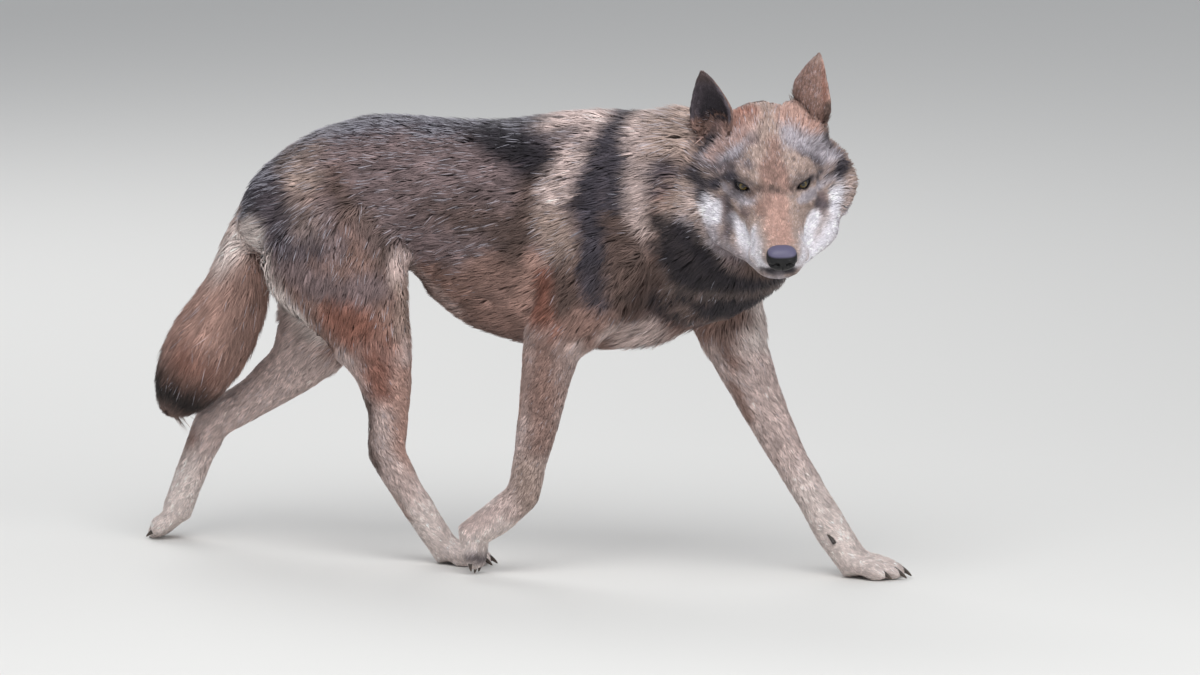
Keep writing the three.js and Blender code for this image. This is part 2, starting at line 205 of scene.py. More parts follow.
def makeWorld(s):
    world = bpy.data.worlds.new("studio")
    world.use_nodes = True
    background = world.node_tree.nodes["Background"]
    background.inputs["Color"].default_value = (*linear(s["worldColour"]), 1)
    background.inputs["Strength"].default_value = s["worldStrength"]
    bpy.context.scene.world = world
    bpy.context.scene.view_settings.view_transform = "Standard"


def makeLights(s):
    for name, (place, size, power) in softboxes.items():
        lamp = bpy.data.lights.new(name, "AREA")
        lamp.size = size
        lamp.energy = power
        holder = bpy.data.objects.new(name, lamp)
        holder.location = place
        facing = Vector(s["lightAim"]) - Vector(place)
        holder.rotation_euler = facing.to_track_quat("-Z", "Y").to_euler()
        bpy.context.scene.collection.objects.link(holder)


def makeCamera(s):
    azimuth, elevation = math.radians(s["azimuth"]), math.radians(s["elevation"])
    flat = math.cos(elevation)
    back = Vector((math.sin(azimuth) * flat, -math.cos(azimuth) * flat, math.sin(elevation)))
    camera = bpy.data.objects.new("camera", bpy.data.cameras.new("camera"))
    camera.data.sensor_width = s["sensor"]
    camera.data.lens = s["sensor"] * s["distance"] / s["widthSeen"]
    camera.data.clip_end = s["farthest"]
    camera.location = Vector(s["aim"]) + back * s["distance"]
    camera.rotation_euler = (-back).to_track_quat("-Z", "Y").to_euler()
    bpy.context.scene.collection.objects.link(camera)
    bpy.context.scene.camera = camera


for make in (makeFloor, makeWorld, makeLights, makeCamera):
    make(stageSettings)
report("stage, lights and camera")

# head frame: millimetres, x to the nose, y to the wolf's left, z up, origin between the eyes
noseDrop = math.radians(17.8)  # how far the nose lies below the level of the eyes


def headFrame():
    left = unit(middleOf("eye_left") - middleOf("eye_right"))
    origin = (middleOf("eye_left") + middleOf("eye_right")) / 2
    toNose = middleOf("nose") - origin
    toNose = unit(toNose - left * (toNose @ left))
    overNose = np.cross(toNose, left)
    forward = toNose * math.cos(noseDrop) + overNose * math.sin(noseDrop)
    return origin, np.array([forward, left, np.cross(forward, left)])


headOrigin, headAxes = headFrame()
middleY = middleOf("tail")[1]  # the body's plane of symmetry


def toHead(points):
    return (points - headOrigin) @ headAxes.T / mm


def fromHead(points):
    return np.asarray(points, float) * mm @ headAxes + headOrigin


# regions of the skin. depth is the coat's depth, length and width are those of a tuft, all in
# millimetres; cover is how many layers of tufts lie over a place; lock is how far tips draw together;
# smooth is a share of the smoothing
coatKeys = ("depth", "length", "width", "cover", "lock")
regions = {
    "trunk": dict(nodes=["trunk"], depth=13, length=36, width=2.3, cover=8, lock=0.36, smooth=1.0),
    "neck": dict(nodes=["neck"], depth=20, length=52, width=2.7, cover=12, lock=0.45, smooth=1.0),
    "tail": dict(nodes=["tail"], depth=17, length=58, width=2.6, cover=36, lock=0.2, smooth=0.7),
    "upperLegs": dict(
        nodes=["fore_right_shoulder", "fore_left_shoulder", "hind_right_thigh", "hind_left_thigh"],
        depth=9, length=30, width=2.2, cover=8, lock=0.36, smooth=1.0,
    ),
    "lowerLegs": dict(
        nodes=["fore_right_foreleg", "fore_left_foreleg", "hind_right_lower_leg", "hind_left_lower_leg"],
        depth=3.2, length=15, width=1.35, cover=4.6, lock=0.15, smooth=0.5,
    ),
    "paws": dict(
        nodes=["fore_right_paw", "fore_left_paw", "hind_right_paw", "hind_left_paw"],
        depth=1.5, length=8.5, width=1.25, cover=2.8, lock=0.15, smooth=0.05,
    ),
    "head": dict(
        nodes=["head", "lower_jaw"],
        depth=8, length=24, width=2.0, cover=6, lock=0.2, smooth=0.15,
    ),
    "ears": dict(
        nodes=["ear_left", "ear_right"],
        depth=0.8, length=8, width=1.1, cover=4, lock=0.1, smooth=0.04,
    ),
}
fleshNodes = [node for region in regions.values() for node in region["nodes"]]
regionOfNode = [i for i, region in enumerate(regions.values()) for _ in region["nodes"]]
regionIndex = {name: i for i, name in enumerate(regions)}
socketNodes = ["eye_left", "eye_right", "nose"]  # these fill their own sockets in the flesh

skinSettings = {
    "voxel": 3.0 * mm,
    "overlap": 0.7 * mm,  # growth that closes the cuts between the solids
    "earGrowth": 1.2 * mm,  # the ears' edges are thinner than a voxel
    "kept": 0.34,  # share of the points kept, all of them on the head and feet
    "headBox": (-125, 130, -125),  # in the head frame: its back, each side and its lowest point
    "headEdge": (0.25, 0.45),  # the head lies ahead of and above this, in metres
    "footHeight": 0.12,
    "rounds": 36,  # smoothing passes
    "shareRounds": 6,  # passes that spread the regions' shares of that smoothing
    "depthRounds": (30, 4),  # and the coat's depth, before and after the head has its own
    "inwardRounds": 4,
    "sampleSpacing": 9 * mm,  # of the points that stand for a solid's faces
    "sampleSeed": 5,
}


def merged(places, triangles):
    # joins corners at one place, so that a faceted solid has shared normals
    grid = 1e-5
    keys, back = np.unique(np.round(places / grid).astype(np.int64), axis=0, return_inverse=True)
    return keys * grid, back.reshape(-1)[triangles]


def grownFlesh(s):
    places, triangles, count = [], [], 0
    for node in fleshNodes + socketNodes:
        v, t = merged(*arraysOf(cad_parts[node].data))
        grow = s["earGrowth"] if node.startswith("ear") else s["overlap"]
        places.append(v + normalsOf(v, t) * grow)
        triangles.append(t + count)
        count += len(v)
    return meshFrom("flesh", np.vstack(places), np.vstack(triangles))


def oneBody(s):
    # a voxel remesh joins the solids, then the broad parts lose points they don't need
    flesh = grownFlesh(s)
    remesh = flesh.modifiers.new("one_body", "REMESH")
    remesh.mode = "VOXEL"
    remesh.voxel_size = s["voxel"]
    places = afterModifiers(flesh)[0]
    inHead = toHead(places)
    back, side, low = s["headBox"]
    fine = (inHead[:, 0] > back) & (np.abs(inHead[:, 1]) < side) & (inHead[:, 2] > low)
    fine &= (places[:, 0] > s["headEdge"][0]) & (places[:, 2] > s["headEdge"][1])
    fine |= places[:, 2] < s["footHeight"]
    group = flesh.vertex_groups.new(name="broad")
    mesh = flesh.evaluated_get(bpy.context.evaluated_depsgraph_get()).data.copy()
    flesh.modifiers.clear()
    flesh.data = mesh
    group.add(np.where(~fine)[0].tolist(), 1.0, "REPLACE")
    fewer = flesh.modifiers.new("fewer_points", "DECIMATE")
    fewer.ratio = s["kept"]
    fewer.vertex_group = group.name
    body = afterModifiers(flesh)
    bpy.data.objects.remove(flesh)
    return body


def surfaceSamples(node, s):
    # points spread over a solid's faces, to find which solid a place lies nearest
    v, t = arraysOf(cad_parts[node].data)
    a, b, c = v[t[:, 0]], v[t[:, 1]], v[t[:, 2]]
    area = np.linalg.norm(np.cross(b - a, c - a), axis=1) / 2
    chance = np.random.default_rng(s["sampleSeed"])
    face = np.repeat(np.arange(len(t)), np.maximum(1, (area / s["sampleSpacing"] ** 2).astype(int)))
    u, w = np.sqrt(chance.random(len(face)))[:, None], chance.random(len(face))[:, None]
    return a[face] * (1 - u) + b[face] * (u * (1 - w)) + c[face] * (u * w)


def nearestNode(places):
    samples = [surfaceSamples(node, skinSettings) for node in fleshNodes]
    owner = np.repeat(np.arange(len(samples)), [len(found) for found in samples])
    return owner[nearestOf(treeOf(np.vstack(samples)), places)]


class Net:
    # neighbours on the skin, for smoothing places and spreading values
    def __init__(self, triangles, count):
        pairs = np.vstack([triangles[:, [0, 1]], triangles[:, [1, 2]], triangles[:, [2, 0]]])
        self.edges = np.unique(np.sort(pairs, axis=1), axis=0)
        self.degree = np.bincount(self.edges.ravel(), minlength=count)[:, None].astype(float)

    def around(self, values):
        one, other = self.edges.T
        out = np.empty_like(values)
        for axis in range(values.shape[1]):
            column = values[:, axis]
            out[:, axis] = np.bincount(one, column[other], len(values))
            out[:, axis] += np.bincount(other, column[one], len(values))
        return out / self.degree

    def spread(self, values, rounds, share=0.5):
        values = values.reshape(len(values), -1).astype(float)
        for _ in range(rounds):
            values = values + share * (self.around(values) - values)
        return values


def perRegion(key):
    return np.array([region[key] for region in regions.values()], float)


def drawnIn(s):
    places, triangles = oneBody(s)
    report(f"flesh joined, {len(places)} points")
    net = Net(triangles, len(places))
    region = np.array(regionOfNode)[nearestNode(places)]
    share = 0.5 * net.spread(perRegion("smooth")[region], s["shareRounds"])
    places = net.spread(places, s["rounds"], share)
    before, after = s["depthRounds"]
    depth = net.spread(perRegion("depth")[region] * mm, before)
    inHead = toHead(places)
    isHead = region == regionIndex["head"]
    depth[isHead, 0] = np.minimum(depth[isHead, 0], headCoat(inHead[isHead])["depth"] * mm)
    depth = net.spread(depth, after)
    inward = unit(net.spread(normalsOf(places, triangles), s["inwardRounds"]))
    return places - inward * depth, triangles


headHair = {  # at each place along the face, in mm from between the eyes, and then in the ruff and throat
    "along": [-160, -110, -60, -20, 30, 70, 130],
    "depth": ([12, 9, 4.5, 2.5, 1.5, 1.1, 0.7], 14),
    "length": ([40, 28, 15, 10, 7.5, 6, 4.5], 34),
    "width": ([2.2, 1.9, 1.5, 1.2, 1.1, 1.0, 0.9], 2.1),
    "cover": ([8, 8, 6, 5, 3.8, 3, 2.4], 9),
    "lock": ([0.35, 0.3, 0.2, 0.15, 0.1, 0.1, 0.1], 0.4),
}


def headCoat(p):
    # how the coat grows from the muzzle back over the face and out into the ruffs
    x, out = p[:, 0], np.abs(p[:, 1])
    ruff = rise(out, 66, 45) * rise(x, 20, -50)
    throat = rise(p[:, 2], -95, -30) * rise(x, 60, -60)
    longer = np.maximum(ruff, throat)
    coatAt = {}
    for key in coatKeys:
        alongFace, inRuff = headHair[key]
        coatAt[key] = mix(np.interp(x, headHair["along"], alongFace), inRuff, longer)
    return coatAt


bodyMoves = [  # where, how wide and how far, in metres
    dict(what="back of the thigh", at=(-0.385, -0.02, 0.470), reach=0.058, move=(-0.025, 0, -0.002)),
    dict(what="back of the thigh, low", at=(-0.345, -0.02, 0.420), reach=0.040, move=(-0.008, 0, -0.002)),
    dict(what="tail, inner side", at=(-0.462, 0.04, 0.405), reach=0.075, move=(0.024, 0, 0)),
]


def moved(places, moves):
    for m in moves:
        distance = np.linalg.norm(places - np.array(m["at"]), axis=1)
        places = places + hill(distance, m["reach"])[:, None] * np.array(m["move"])
    return places


places, triangles = drawnIn(skinSettings)
places = moved(places, bodyMoves)
report("skin drawn in")

# the face: finer skin, then moves of a few millimetres, in the head frame and for both sides
faceMoves = [  # where, how wide, how far
    dict(what="eye hollow", at=(12, 44, -6), reach=15, move=(-4.0, -2.0, 0)),
    dict(what="brow ridge", at=(-2, 40, 15), reach=11, move=(3.0, 0, 2.0)),
    dict(what="outer brow", at=(-16, 62, 9), reach=12, move=(1.0, 2.0, 2.0)),
    dict(what="stop", at=(12, 0, 4), reach=15, move=(-2.0, 0, -3.0)),
    dict(what="forehead furrow", at=(-40, 0, 42), reach=16, move=(0, 0, -3.0)),
    dict(what="cheek bone", at=(2, 62, -24), reach=16, move=(1.0, 3.0, 1.0)),
    dict(what="hollow under the eye", at=(34, 40, -34), reach=15, move=(0, -4.0, 0)),
    dict(what="whisker pad", at=(109, 33, -65), reach=21, move=(4.0, 11.0, -2.0)),
    dict(what="lip", at=(84, 36, -78), reach=21, move=(0, 9.0, -4.0)),
    dict(what="lip fold", at=(58, 50, -79), reach=24, move=(0, 9.0, -5.0)),
    dict(what="jowl", at=(26, 82, -76), reach=26, move=(1.0, 10.0, -5.0)),
    dict(what="cheek hair, left", at=(12, 92, -72), reach=22, move=(1.0, 6.0, -4.0), sides=(1,)),
    dict(what="jowl, left", at=(40, 72, -80), reach=24, move=(1.0, 9.0, -5.0), sides=(1,)),
    dict(what="lip, left", at=(72, 52, -80), reach=22, move=(0, 8.0, -3.0), sides=(1,)),
    dict(what="chin", at=(106, 20, -92), reach=18, move=(2.0, 4.0, -2.0)),
    dict(what="crown", at=(-100, 0, 60), reach=45, move=(0, 0, 17.0)),
    dict(what="crown, by the right ear", at=(-118, -44, 64), reach=26, move=(0, 0, 15.0), sides=(1,)),
    dict(what="crown, root of the right ear", at=(-112, -60, 66), reach=18, move=(0, 0, 10.0), sides=(1,)),
    dict(what="crown, by the ears", at=(-98, 40, 64), reach=24, move=(0, 0, 7.0)),
]
finerFace = (-75, 160, 118, -125)  # back, front, each side and lowest point of what is made finer
# which edge of an ear widens, and by how much of its width at each of these heights of it
earHeights = [-0.1, 0.1, 0.45, 0.8, 1.0]
earSpread = {"ear_right": (1, 0, 0, 0.30, 0.30, 0.48), "ear_left": (-1, 0, 0.16, 0.28, 0.10, 0.0)}
earTip = {"from": 0.85, "shorter": 4 * mm}  # the tip ends a little lower
eye = {
    "spread": 46.0,  # of the balls from the head's middle
    "forward": -3.0,
    "height": -0.5,
    "radius": 12.0,
    "slit": (10.8, 4.9),  # half the opening's length, and half its height
    "slant": math.radians(21),  # the inner corner lies lower
    "lid": 1.3,  # thickness of a lid over the ball
    "rim": 1.22,  # the lid's own thickness ends here, as a multiple of the opening
    "fade": 2.0,  # and its form blends into the face here
    "finer": (27, 21, 18),  # each time the skin is made finer within this distance of the ball's middle
    "near": 30,  # no lid reaches farther from there
    "snap": 0.05,  # points this near the opening's edge move onto it
    "behind": 3,  # how deep the skin goes behind the ball's surface
    "fold": (1.75, 0.16, 0.9),  # the upper lid's crease: where, its half width, and its depth in mm
    "easeFrom": 1.12,  # the lids' skin is smoothed between these multiples of the opening
    "easeTo": 2.6,
    "easeRounds": 5,
}
nose = {  # millimetres in the head frame
    "centre": (139.5, 0, -46.5),
    "half": (18.0, 24.0, 18.8),
    "root": 127.0,  # the leather grows out of the face here
    "held": ([0.0, 0.6, 1.0, 1.12], [0.0, 0.6, 0.64, 1.12]),  # draws the skin inside the leather
}


def fromNose(p):
    # 1 on the surface of the nose leather, less inside it
    return np.linalg.norm((p - np.array(nose["centre"])) / np.array(nose["half"]), axis=-1)


def eyeFrame(side):
    # centre of the ball, the way it looks, the line from inner to outer corner, and across it
    centre = np.array([eye["forward"], side * eye["spread"], eye["height"]])
    look = unit(np.array([0.9, side * 0.36, 0.22]))
    outward = unit(np.array([-0.3, side * 1.0, 0.0]))
    outward = unit(outward - look * (outward @ look))
    upward = np.cross(look, outward) * side
    slit = outward * math.cos(eye["slant"]) + upward * math.sin(eye["slant"])
    return centre, look, slit, unit(np.cross(look, slit) * side)


def slitSize(a, b):
    # 1 on the edge of the almond opening, less inside it
    return np.sqrt(a**2 + b**2 * (1 + 0.55 * np.minimum(a**2, 4)))


def inEyeFrame(p, side):
    centre, look, along, across = eyeFrame(side)
    q = p - centre
    a, b, deep = q @ along / eye["slit"][0], q @ across / eye["slit"][1], q @ look
    return a, b, deep, slitSize(a, b)


def finer(places, triangles, chosen):
    # splits every edge whose ends are both chosen
    body = bmesh.new()
    mesh = bpy.data.meshes.new("finer")
    mesh.from_pydata(places.tolist(), [], triangles.tolist())
    body.from_mesh(mesh)
    edges = [e for e in body.edges if chosen[e.verts[0].index] and chosen[e.verts[1].index]]
    bmesh.ops.subdivide_edges(body, edges=edges, cuts=1, smooth=0.6)
    bmesh.ops.triangulate(body, faces=body.faces[:])
    body.to_mesh(mesh)
    body.free()
    out = arraysOf(mesh)
    bpy.data.meshes.remove(mesh)
    return out


def movedFace(places):
    for moves in faceMoves:
        for side in moves.get("sides", (1, -1) if moves["at"][1] else (1,)):
            mirror = np.array([1, side, 1])
            p = toHead(places)
            distance = np.linalg.norm(p - np.array(moves["at"]) * mirror, axis=1)
            share = hill(distance, moves["reach"])[:, None]
            near = share[:, 0] > 0.01
            places[near] = fromHead(p[near] + share[near] * np.array(moves["move"]) * mirror)
    return places


def underNose(places):
    # the skin under the nose leather is drawn in, so that it stays hidden
    p, middle = toHead(places), np.array(nose["centre"])
    r = fromNose(p)
    covered = (p[:, 0] > nose["root"]) & (r < nose["held"][0][-1])
    inward = np.where(covered, np.interp(r, *nose["held"]) / np.maximum(r, 1e-6), 1.0)
    return fromHead(middle + (p - middle) * inward[:, None])


def finerByEyes(places, triangles):
    for reach in eye["finer"]:
        p = toHead(places)
        near = np.zeros(len(p), bool)
        for side in (1, -1):
            _, _, deep, size = inEyeFrame(p, side)
            near |= (np.linalg.norm(p - eyeFrame(side)[0], axis=1) < reach) & (deep > -2) & (size < 3)
        places, triangles = finer(places, triangles, near)
    return places, triangles


def easedLids(places, triangles):
    share = np.zeros((len(places), 1))
    for side in (1, -1):
        a, b, deep, size = inEyeFrame(toHead(places), side)
        ring = (size > eye["easeFrom"]) & (size < eye["easeTo"]) & (np.hypot(a, b) < eye["easeTo"])
        share[ring & (deep > 0)] = 0.5
    return Net(triangles, len(places)).spread(places, eye["easeRounds"], share)


def sculptFace(places, triangles):
    p = toHead(places)
    back, ahead, out, low = finerFace
    front = (p[:, 0] > back) & (np.abs(p[:, 1]) < out) & (p[:, 2] > low) & (p[:, 0] < ahead)
    places, triangles = finer(places, triangles, front)
    report(f"finer face, {len(places)} points")
    places = widerEars(underNose(movedFace(places)))
    places, triangles = finerByEyes(places, triangles)
    for side in (1, -1):
        places = openLids(places, side)
    return easedLids(places, triangles), triangles


def widerEars(places):
    # one edge of each ear moves out, more or less by its height
    for name, (edge, *share) in earSpread.items():
        v = arraysOf(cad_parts[name].data)[0]
        root, top = v[v[:, 2] < np.percentile(v[:, 2], 25)].mean(axis=0), v[v[:, 2].argmax()]
        along, height = unit(top - root), np.linalg.norm(top - root)
        across = np.linalg.svd(v - v.mean(axis=0), full_matrices=False)[2][1]
        across = unit(across - along * (across @ along))
        across *= np.sign(across @ (headOrigin - root))
        low, high = v.min(axis=0) - 4 * mm, v.max(axis=0) + 4 * mm
        mine = np.all((places > low) & (places < high), axis=1)
        t = (places[mine] - root) @ along / height
        grow = np.interp(t, earHeights, share)
        off = edge * np.maximum(edge * ((places[mine] - root) @ across), -2 * mm)
        shorter = np.clip(t - earTip["from"], 0, 1) * earTip["shorter"]
        places[mine] += across * (off * grow)[:, None] - along * shorter[:, None]
    return places


def openLids(places, side):
    # inside the opening the skin goes behind the ball; round it, it becomes two lids over the ball
    centre, look, along, across = eyeFrame(side)
    a, b, deep, size = inEyeFrame(toHead(places), side)
    near = np.linalg.norm(toHead(places) - centre, axis=1) < eye["near"]
    near &= (size < eye["fade"]) & (deep > 0)
    a, b, deep, size = a[near], b[near], deep[near], size[near]
    snapped = np.where(np.abs(size - 1) < eye["snap"], 1.0, size)
    a, b = a * snapped / size, b * snapped / size
    flat = along * (a * eye["slit"][0])[:, None] + across * (b * eye["slit"][1])[:, None]
    out = np.linalg.norm(flat, axis=1)
    behind, over = eye["radius"] - eye["behind"], eye["radius"] + eye["lid"]
    cap = np.sqrt(np.maximum(over**2 - np.minimum(out, over * 0.93) ** 2, 0))
    cap = np.where(out > over * 0.9, np.minimum(cap, deep + 0.5), cap)
    inner = np.sqrt(np.maximum(behind**2 - np.minimum(out, behind * 0.9) ** 2, 0))
    where, half, foldDepth = eye["fold"]
    fold = foldDepth * hill(snapped - where, half) * (b > 0)
    hold = eased(rise(snapped, eye["rim"], eye["fade"] - eye["rim"]))
    depth = np.where(snapped < 1, inner, mix(cap, deep, hold) - fold)
    opened = places.copy()
    opened[near] = fromHead(centre + flat + look * depth[:, None])
    return opened


places, triangles = sculptFace(places, triangles)
places[:, 2] = np.maximum(places[:, 2], 0.3 * mm)
net = Net(triangles, len(places))
normals = unit(net.spread(normalsOf(places, triangles), 1))
nodeNear = nearestNode(places)
regionNear = np.array(regionOfNode)[nodeNear]
report(f"face and eyelids, {len(places)} points")

# the lie of the coat, from the way each part runs
leanBack = np.array([-0.45, 0, 0])  # of the hair on the shoulders and thighs


def towards(node, other):
    return unit(middleOf(other) - middleOf(node))


def lieOfNodes():
    lie = {"trunk": (-1, 0, -0.25), "neck": (-0.9, 0.12, -0.45)}
    lie["head"] = lie["lower_jaw"] = (-1, 0, 0)
    low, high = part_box("tail")
    lie["tail"] = (low.x - high.x, 0, low.z - high.z)
    for end, upper, lower in (("fore", "shoulder", "foreleg"), ("hind", "thigh", "lower_leg")):
        for side in ("right", "left"):
            leg = f"{end}_{side}"
            lie[f"{leg}_{upper}"] = towards(f"{leg}_{upper}", f"{leg}_{lower}") + leanBack
            lie[f"{leg}_{lower}"] = towards(f"{leg}_{lower}", f"{leg}_paw")
            lie[f"{leg}_paw"] = towards(f"{leg}_paw", f"{leg}_claw_mid_outer")
    for side in ("left", "right"):
        v = arraysOf(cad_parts[f"ear_{side}"].data)[0]
        lie[f"ear_{side}"] = v[v[:, 2].argmax()] - v.mean(axis=0)
    return unit(np.array([lie[node] for node in fleshNodes], float))


whorl = np.array([150.0, 0, -30.0])  # the face's hair leaves the nose on every side


def combed():
    lie = lieOfNodes()[nodeNear]
    isHead = np.isin(nodeNear, [fleshNodes.index("head"), fleshNodes.index("lower_jaw")])
    p = toHead(places[isHead])
    fan = unit(p - whorl)
    fan[:, 2] -= 0.55 * rise(np.abs(p[:, 1]), 55, 60)  # and hangs in the ruffs
    lie[isHead] = unit(fan) @ headAxes
    lie = net.spread(lie, 14)
    return unit(lie - normals * np.sum(lie * normals, axis=1, keepdims=True))


combedLie = combed()
breeches = {  # the longer hair down the back of each thigh
    "nodes": ["hind_right_thigh", "hind_left_thigh"],
    "front": -0.325,  # metres along the body
    "top": 0.53,
    "low": 0.36,
    "fade": 0.04,
    "longer": 22,  # mm
    "deeper": 9,
}


def coatFields():
    fields = {}
    isHead = regionNear == regionIndex["head"]
    face = headCoat(toHead(places[isHead]))
    for key in coatKeys:
        values = perRegion(key)[regionNear]
        values[isHead] = face[key]
        fields[key] = net.spread(values, 10)[:, 0]
    s = breeches
    behind = rise(places[:, 0], s["front"], -s["fade"]) * rise(places[:, 2], s["top"], -s["fade"])
    behind *= rise(places[:, 2], s["low"], s["fade"])
    behind *= np.isin(nodeNear, [fleshNodes.index(node) for node in s["nodes"]])
    behind = net.spread(behind, 6)[:, 0]
    fields["length"] += s["longer"] * behind
    fields["depth"] += s["deeper"] * behind
    return fields


coat = coatFields()
report("lie and length of the coat")

# the coat's tones, from the white of the cheeks to the black of the tail's tip
coatTones = {
    "white": "#f0ecf4",
    "cream": "#e6d6d0",
    "pale": "#d0bab4",
    "ash": "#aca4aa",
    "fawn": "#b89488",
    "buff": "#ac968c",
    "rust": "#8e6052",
    "tan": "#94766c",
    "taupe": "#806e6e",
    "brown": "#604e48",
    "smoke": "#544c52",
    "slate": "#403c44",
    "charcoal": "#28242a",
    "black": "#121012",
}
# markings, shared by skin and coat, some of them with painted shade and sheen. Each mark is a stroke: its
# tone, how much of the coat there is flecked with pale tips, the stroke's reach, its strength, and the
# line it follows
baseTones = {
    "trunk": "taupe",
    "neck": "tan",
    "tail": "fawn",
    "upperLegs": "tan",
    "lowerLegs": "pale",
    "paws": "cream",
    "head": "buff",
    "ears": "tan",
}
# through x and z in metres, the same on both sides, on the trunk, neck and upper legs
bodyZones = [
    # the saddle's pale flecks are partly the guard hairs' pale tips and partly a painted sky sheen on the
    # top of the back
    (
        "saddle", "slate", 0.6, 0.032, 1.8,
        [(0.02, 0.708), (-0.10, 0.704), (-0.20, 0.703), (-0.30, 0.686), (-0.39, 0.632), (-0.445, 0.564)],
    ),
    ("upper flank", "taupe", 0.1, 0.034, 1, [(-0.300, 0.640), (-0.199, 0.652), (-0.060, 0.644)]),
    ("flank", "taupe", 0.08, 0.050, 1, [(-0.200, 0.600), (-0.100, 0.605), (0.000, 0.600)]),
    ("flank, dark", "brown", 0.05, 0.034, 1, [(-0.110, 0.560), (-0.020, 0.572), (0.021, 0.559)]),
    ("low flank", "taupe", 0.1, 0.032, 1, [(-0.176, 0.530), (-0.122, 0.512), (-0.069, 0.500)]),
    ("ribs, red", "tan", 0, 0.030, 1, [(-0.039, 0.462), (0.033, 0.472)]),
    ("belly", "tan", 0, 0.040, 1, [(-0.100, 0.440), (-0.050, 0.400), (0.001, 0.385)]),
    # painted shadow behind the shoulder
    (
        "shadow behind the shoulder", "brown", 0, 0.020, 1,
        [(0.054, 0.625), (0.061, 0.577), (0.041, 0.525), (0.032, 0.492)],
    ),
    ("blotch", "charcoal", 0, 0.036, 3.0, [(-0.030, 0.690), (0.015, 0.680), (0.048, 0.655)]),
    ("withers", "pale", 0.05, 0.028, 1.4, [(0.062, 0.715), (0.100, 0.722), (0.140, 0.708)]),
    ("pale band", "pale", 0.1, 0.022, 1.3, [(0.132, 0.652), (0.109, 0.623), (0.087, 0.597)]),
    ("pale band, low", "buff", 0.1, 0.024, 1, [(0.085, 0.566), (0.106, 0.542), (0.116, 0.517)]),
    (
        "dark band", "slate", 0, 0.020, 1.4,
        [(0.160, 0.667), (0.163, 0.595), (0.171, 0.546), (0.172, 0.491), (0.180, 0.441)],
    ),
    ("shoulder, brown", "brown", 0, 0.022, 0.8, [(0.127, 0.494), (0.127, 0.442)]),
    ("shoulder, red", "rust", 0, 0.022, 1, [(0.082, 0.462), (0.084, 0.421), (0.090, 0.382)]),
    ("elbow, pale", "fawn", 0, 0.016, 2.4, [(0.066, 0.491), (0.048, 0.454), (0.031, 0.405)]),
    (
        "neck stripe", "slate", 0, 0.018, 2.2,
        [(0.172, 0.74), (0.184, 0.698), (0.204, 0.664), (0.212, 0.598)],
    ),
    ("behind the neck", "brown", 0, 0.026, 1, [(0.204, 0.554), (0.226, 0.514)]),
    (
        "neck, pale", "pale", 0.03, 0.021, 1.6,
        [(0.216, 0.715), (0.234, 0.648), (0.243, 0.600), (0.252, 0.569), (0.275, 0.535)],
    ),
    ("nape", "buff", 0.1, 0.026, 1, [(0.215, 0.725), (0.26, 0.725), (0.31, 0.725)]),
    ("neck, middle", "buff", 0.15, 0.030, 0.8, [(0.265, 0.695), (0.300, 0.685)]),
    ("neck, dark", "smoke", 0, 0.022, 1.3, [(0.284, 0.628), (0.300, 0.648), (0.274, 0.651)]),
    ("neck, tan", "fawn", 0, 0.024, 1.8, [(0.306, 0.596), (0.300, 0.562), (0.282, 0.530)]),
    ("chest, brown", "brown", 0, 0.034, 1, [(0.205, 0.476), (0.234, 0.450), (0.254, 0.475)]),
    # painted shade under the turned head, over the throat
    ("throat", "charcoal", 0, 0.038, 3.0, [(0.338, 0.548), (0.358, 0.510), (0.380, 0.475), (0.39, 0.43)]),
    ("throat, low", "charcoal", 0, 0.026, 2.6, [(0.262, 0.440), (0.312, 0.418), (0.40, 0.405)]),
    ("chest", "pale", 0, 0.018, 1.5, [(0.183, 0.366), (0.205, 0.376), (0.235, 0.380)]),
    ("chest, side", "tan", 0, 0.020, 0.9, [(0.161, 0.412), (0.155, 0.368)]),
    ("rump, pale", "buff", 0.1, 0.022, 1.2, [(-0.370, 0.630), (-0.340, 0.637), (-0.310, 0.645)]),
    ("rump, pale low", "buff", 0.1, 0.018, 0.8, [(-0.335, 0.600), (-0.305, 0.608)]),
    ("rump, dark", "smoke", 0.12, 0.032, 1, [(-0.410, 0.575), (-0.360, 0.541), (-0.349, 0.505)]),
    ("thigh, pale", "taupe", 0.1, 0.022, 0.7, [(-0.285, 0.558), (-0.259, 0.500)]),
    ("thigh, dark", "smoke", 0, 0.018, 0.7, [(-0.300, 0.523), (-0.289, 0.498)]),
    (
        "thigh, across", "taupe", 0, 0.021, 0.9,
        [(-0.350, 0.467), (-0.296, 0.447), (-0.251, 0.425), (-0.196, 0.440)],
    ),
    (
        "back of the thigh", "cream", 0, 0.028, 2.4,
        [(-0.425, 0.500), (-0.415, 0.450), (-0.385, 0.400), (-0.345, 0.360)],
    ),
    ("thigh, red", "rust", 0, 0.030, 1, [(-0.240, 0.391), (-0.197, 0.345), (-0.180, 0.300)]),
]
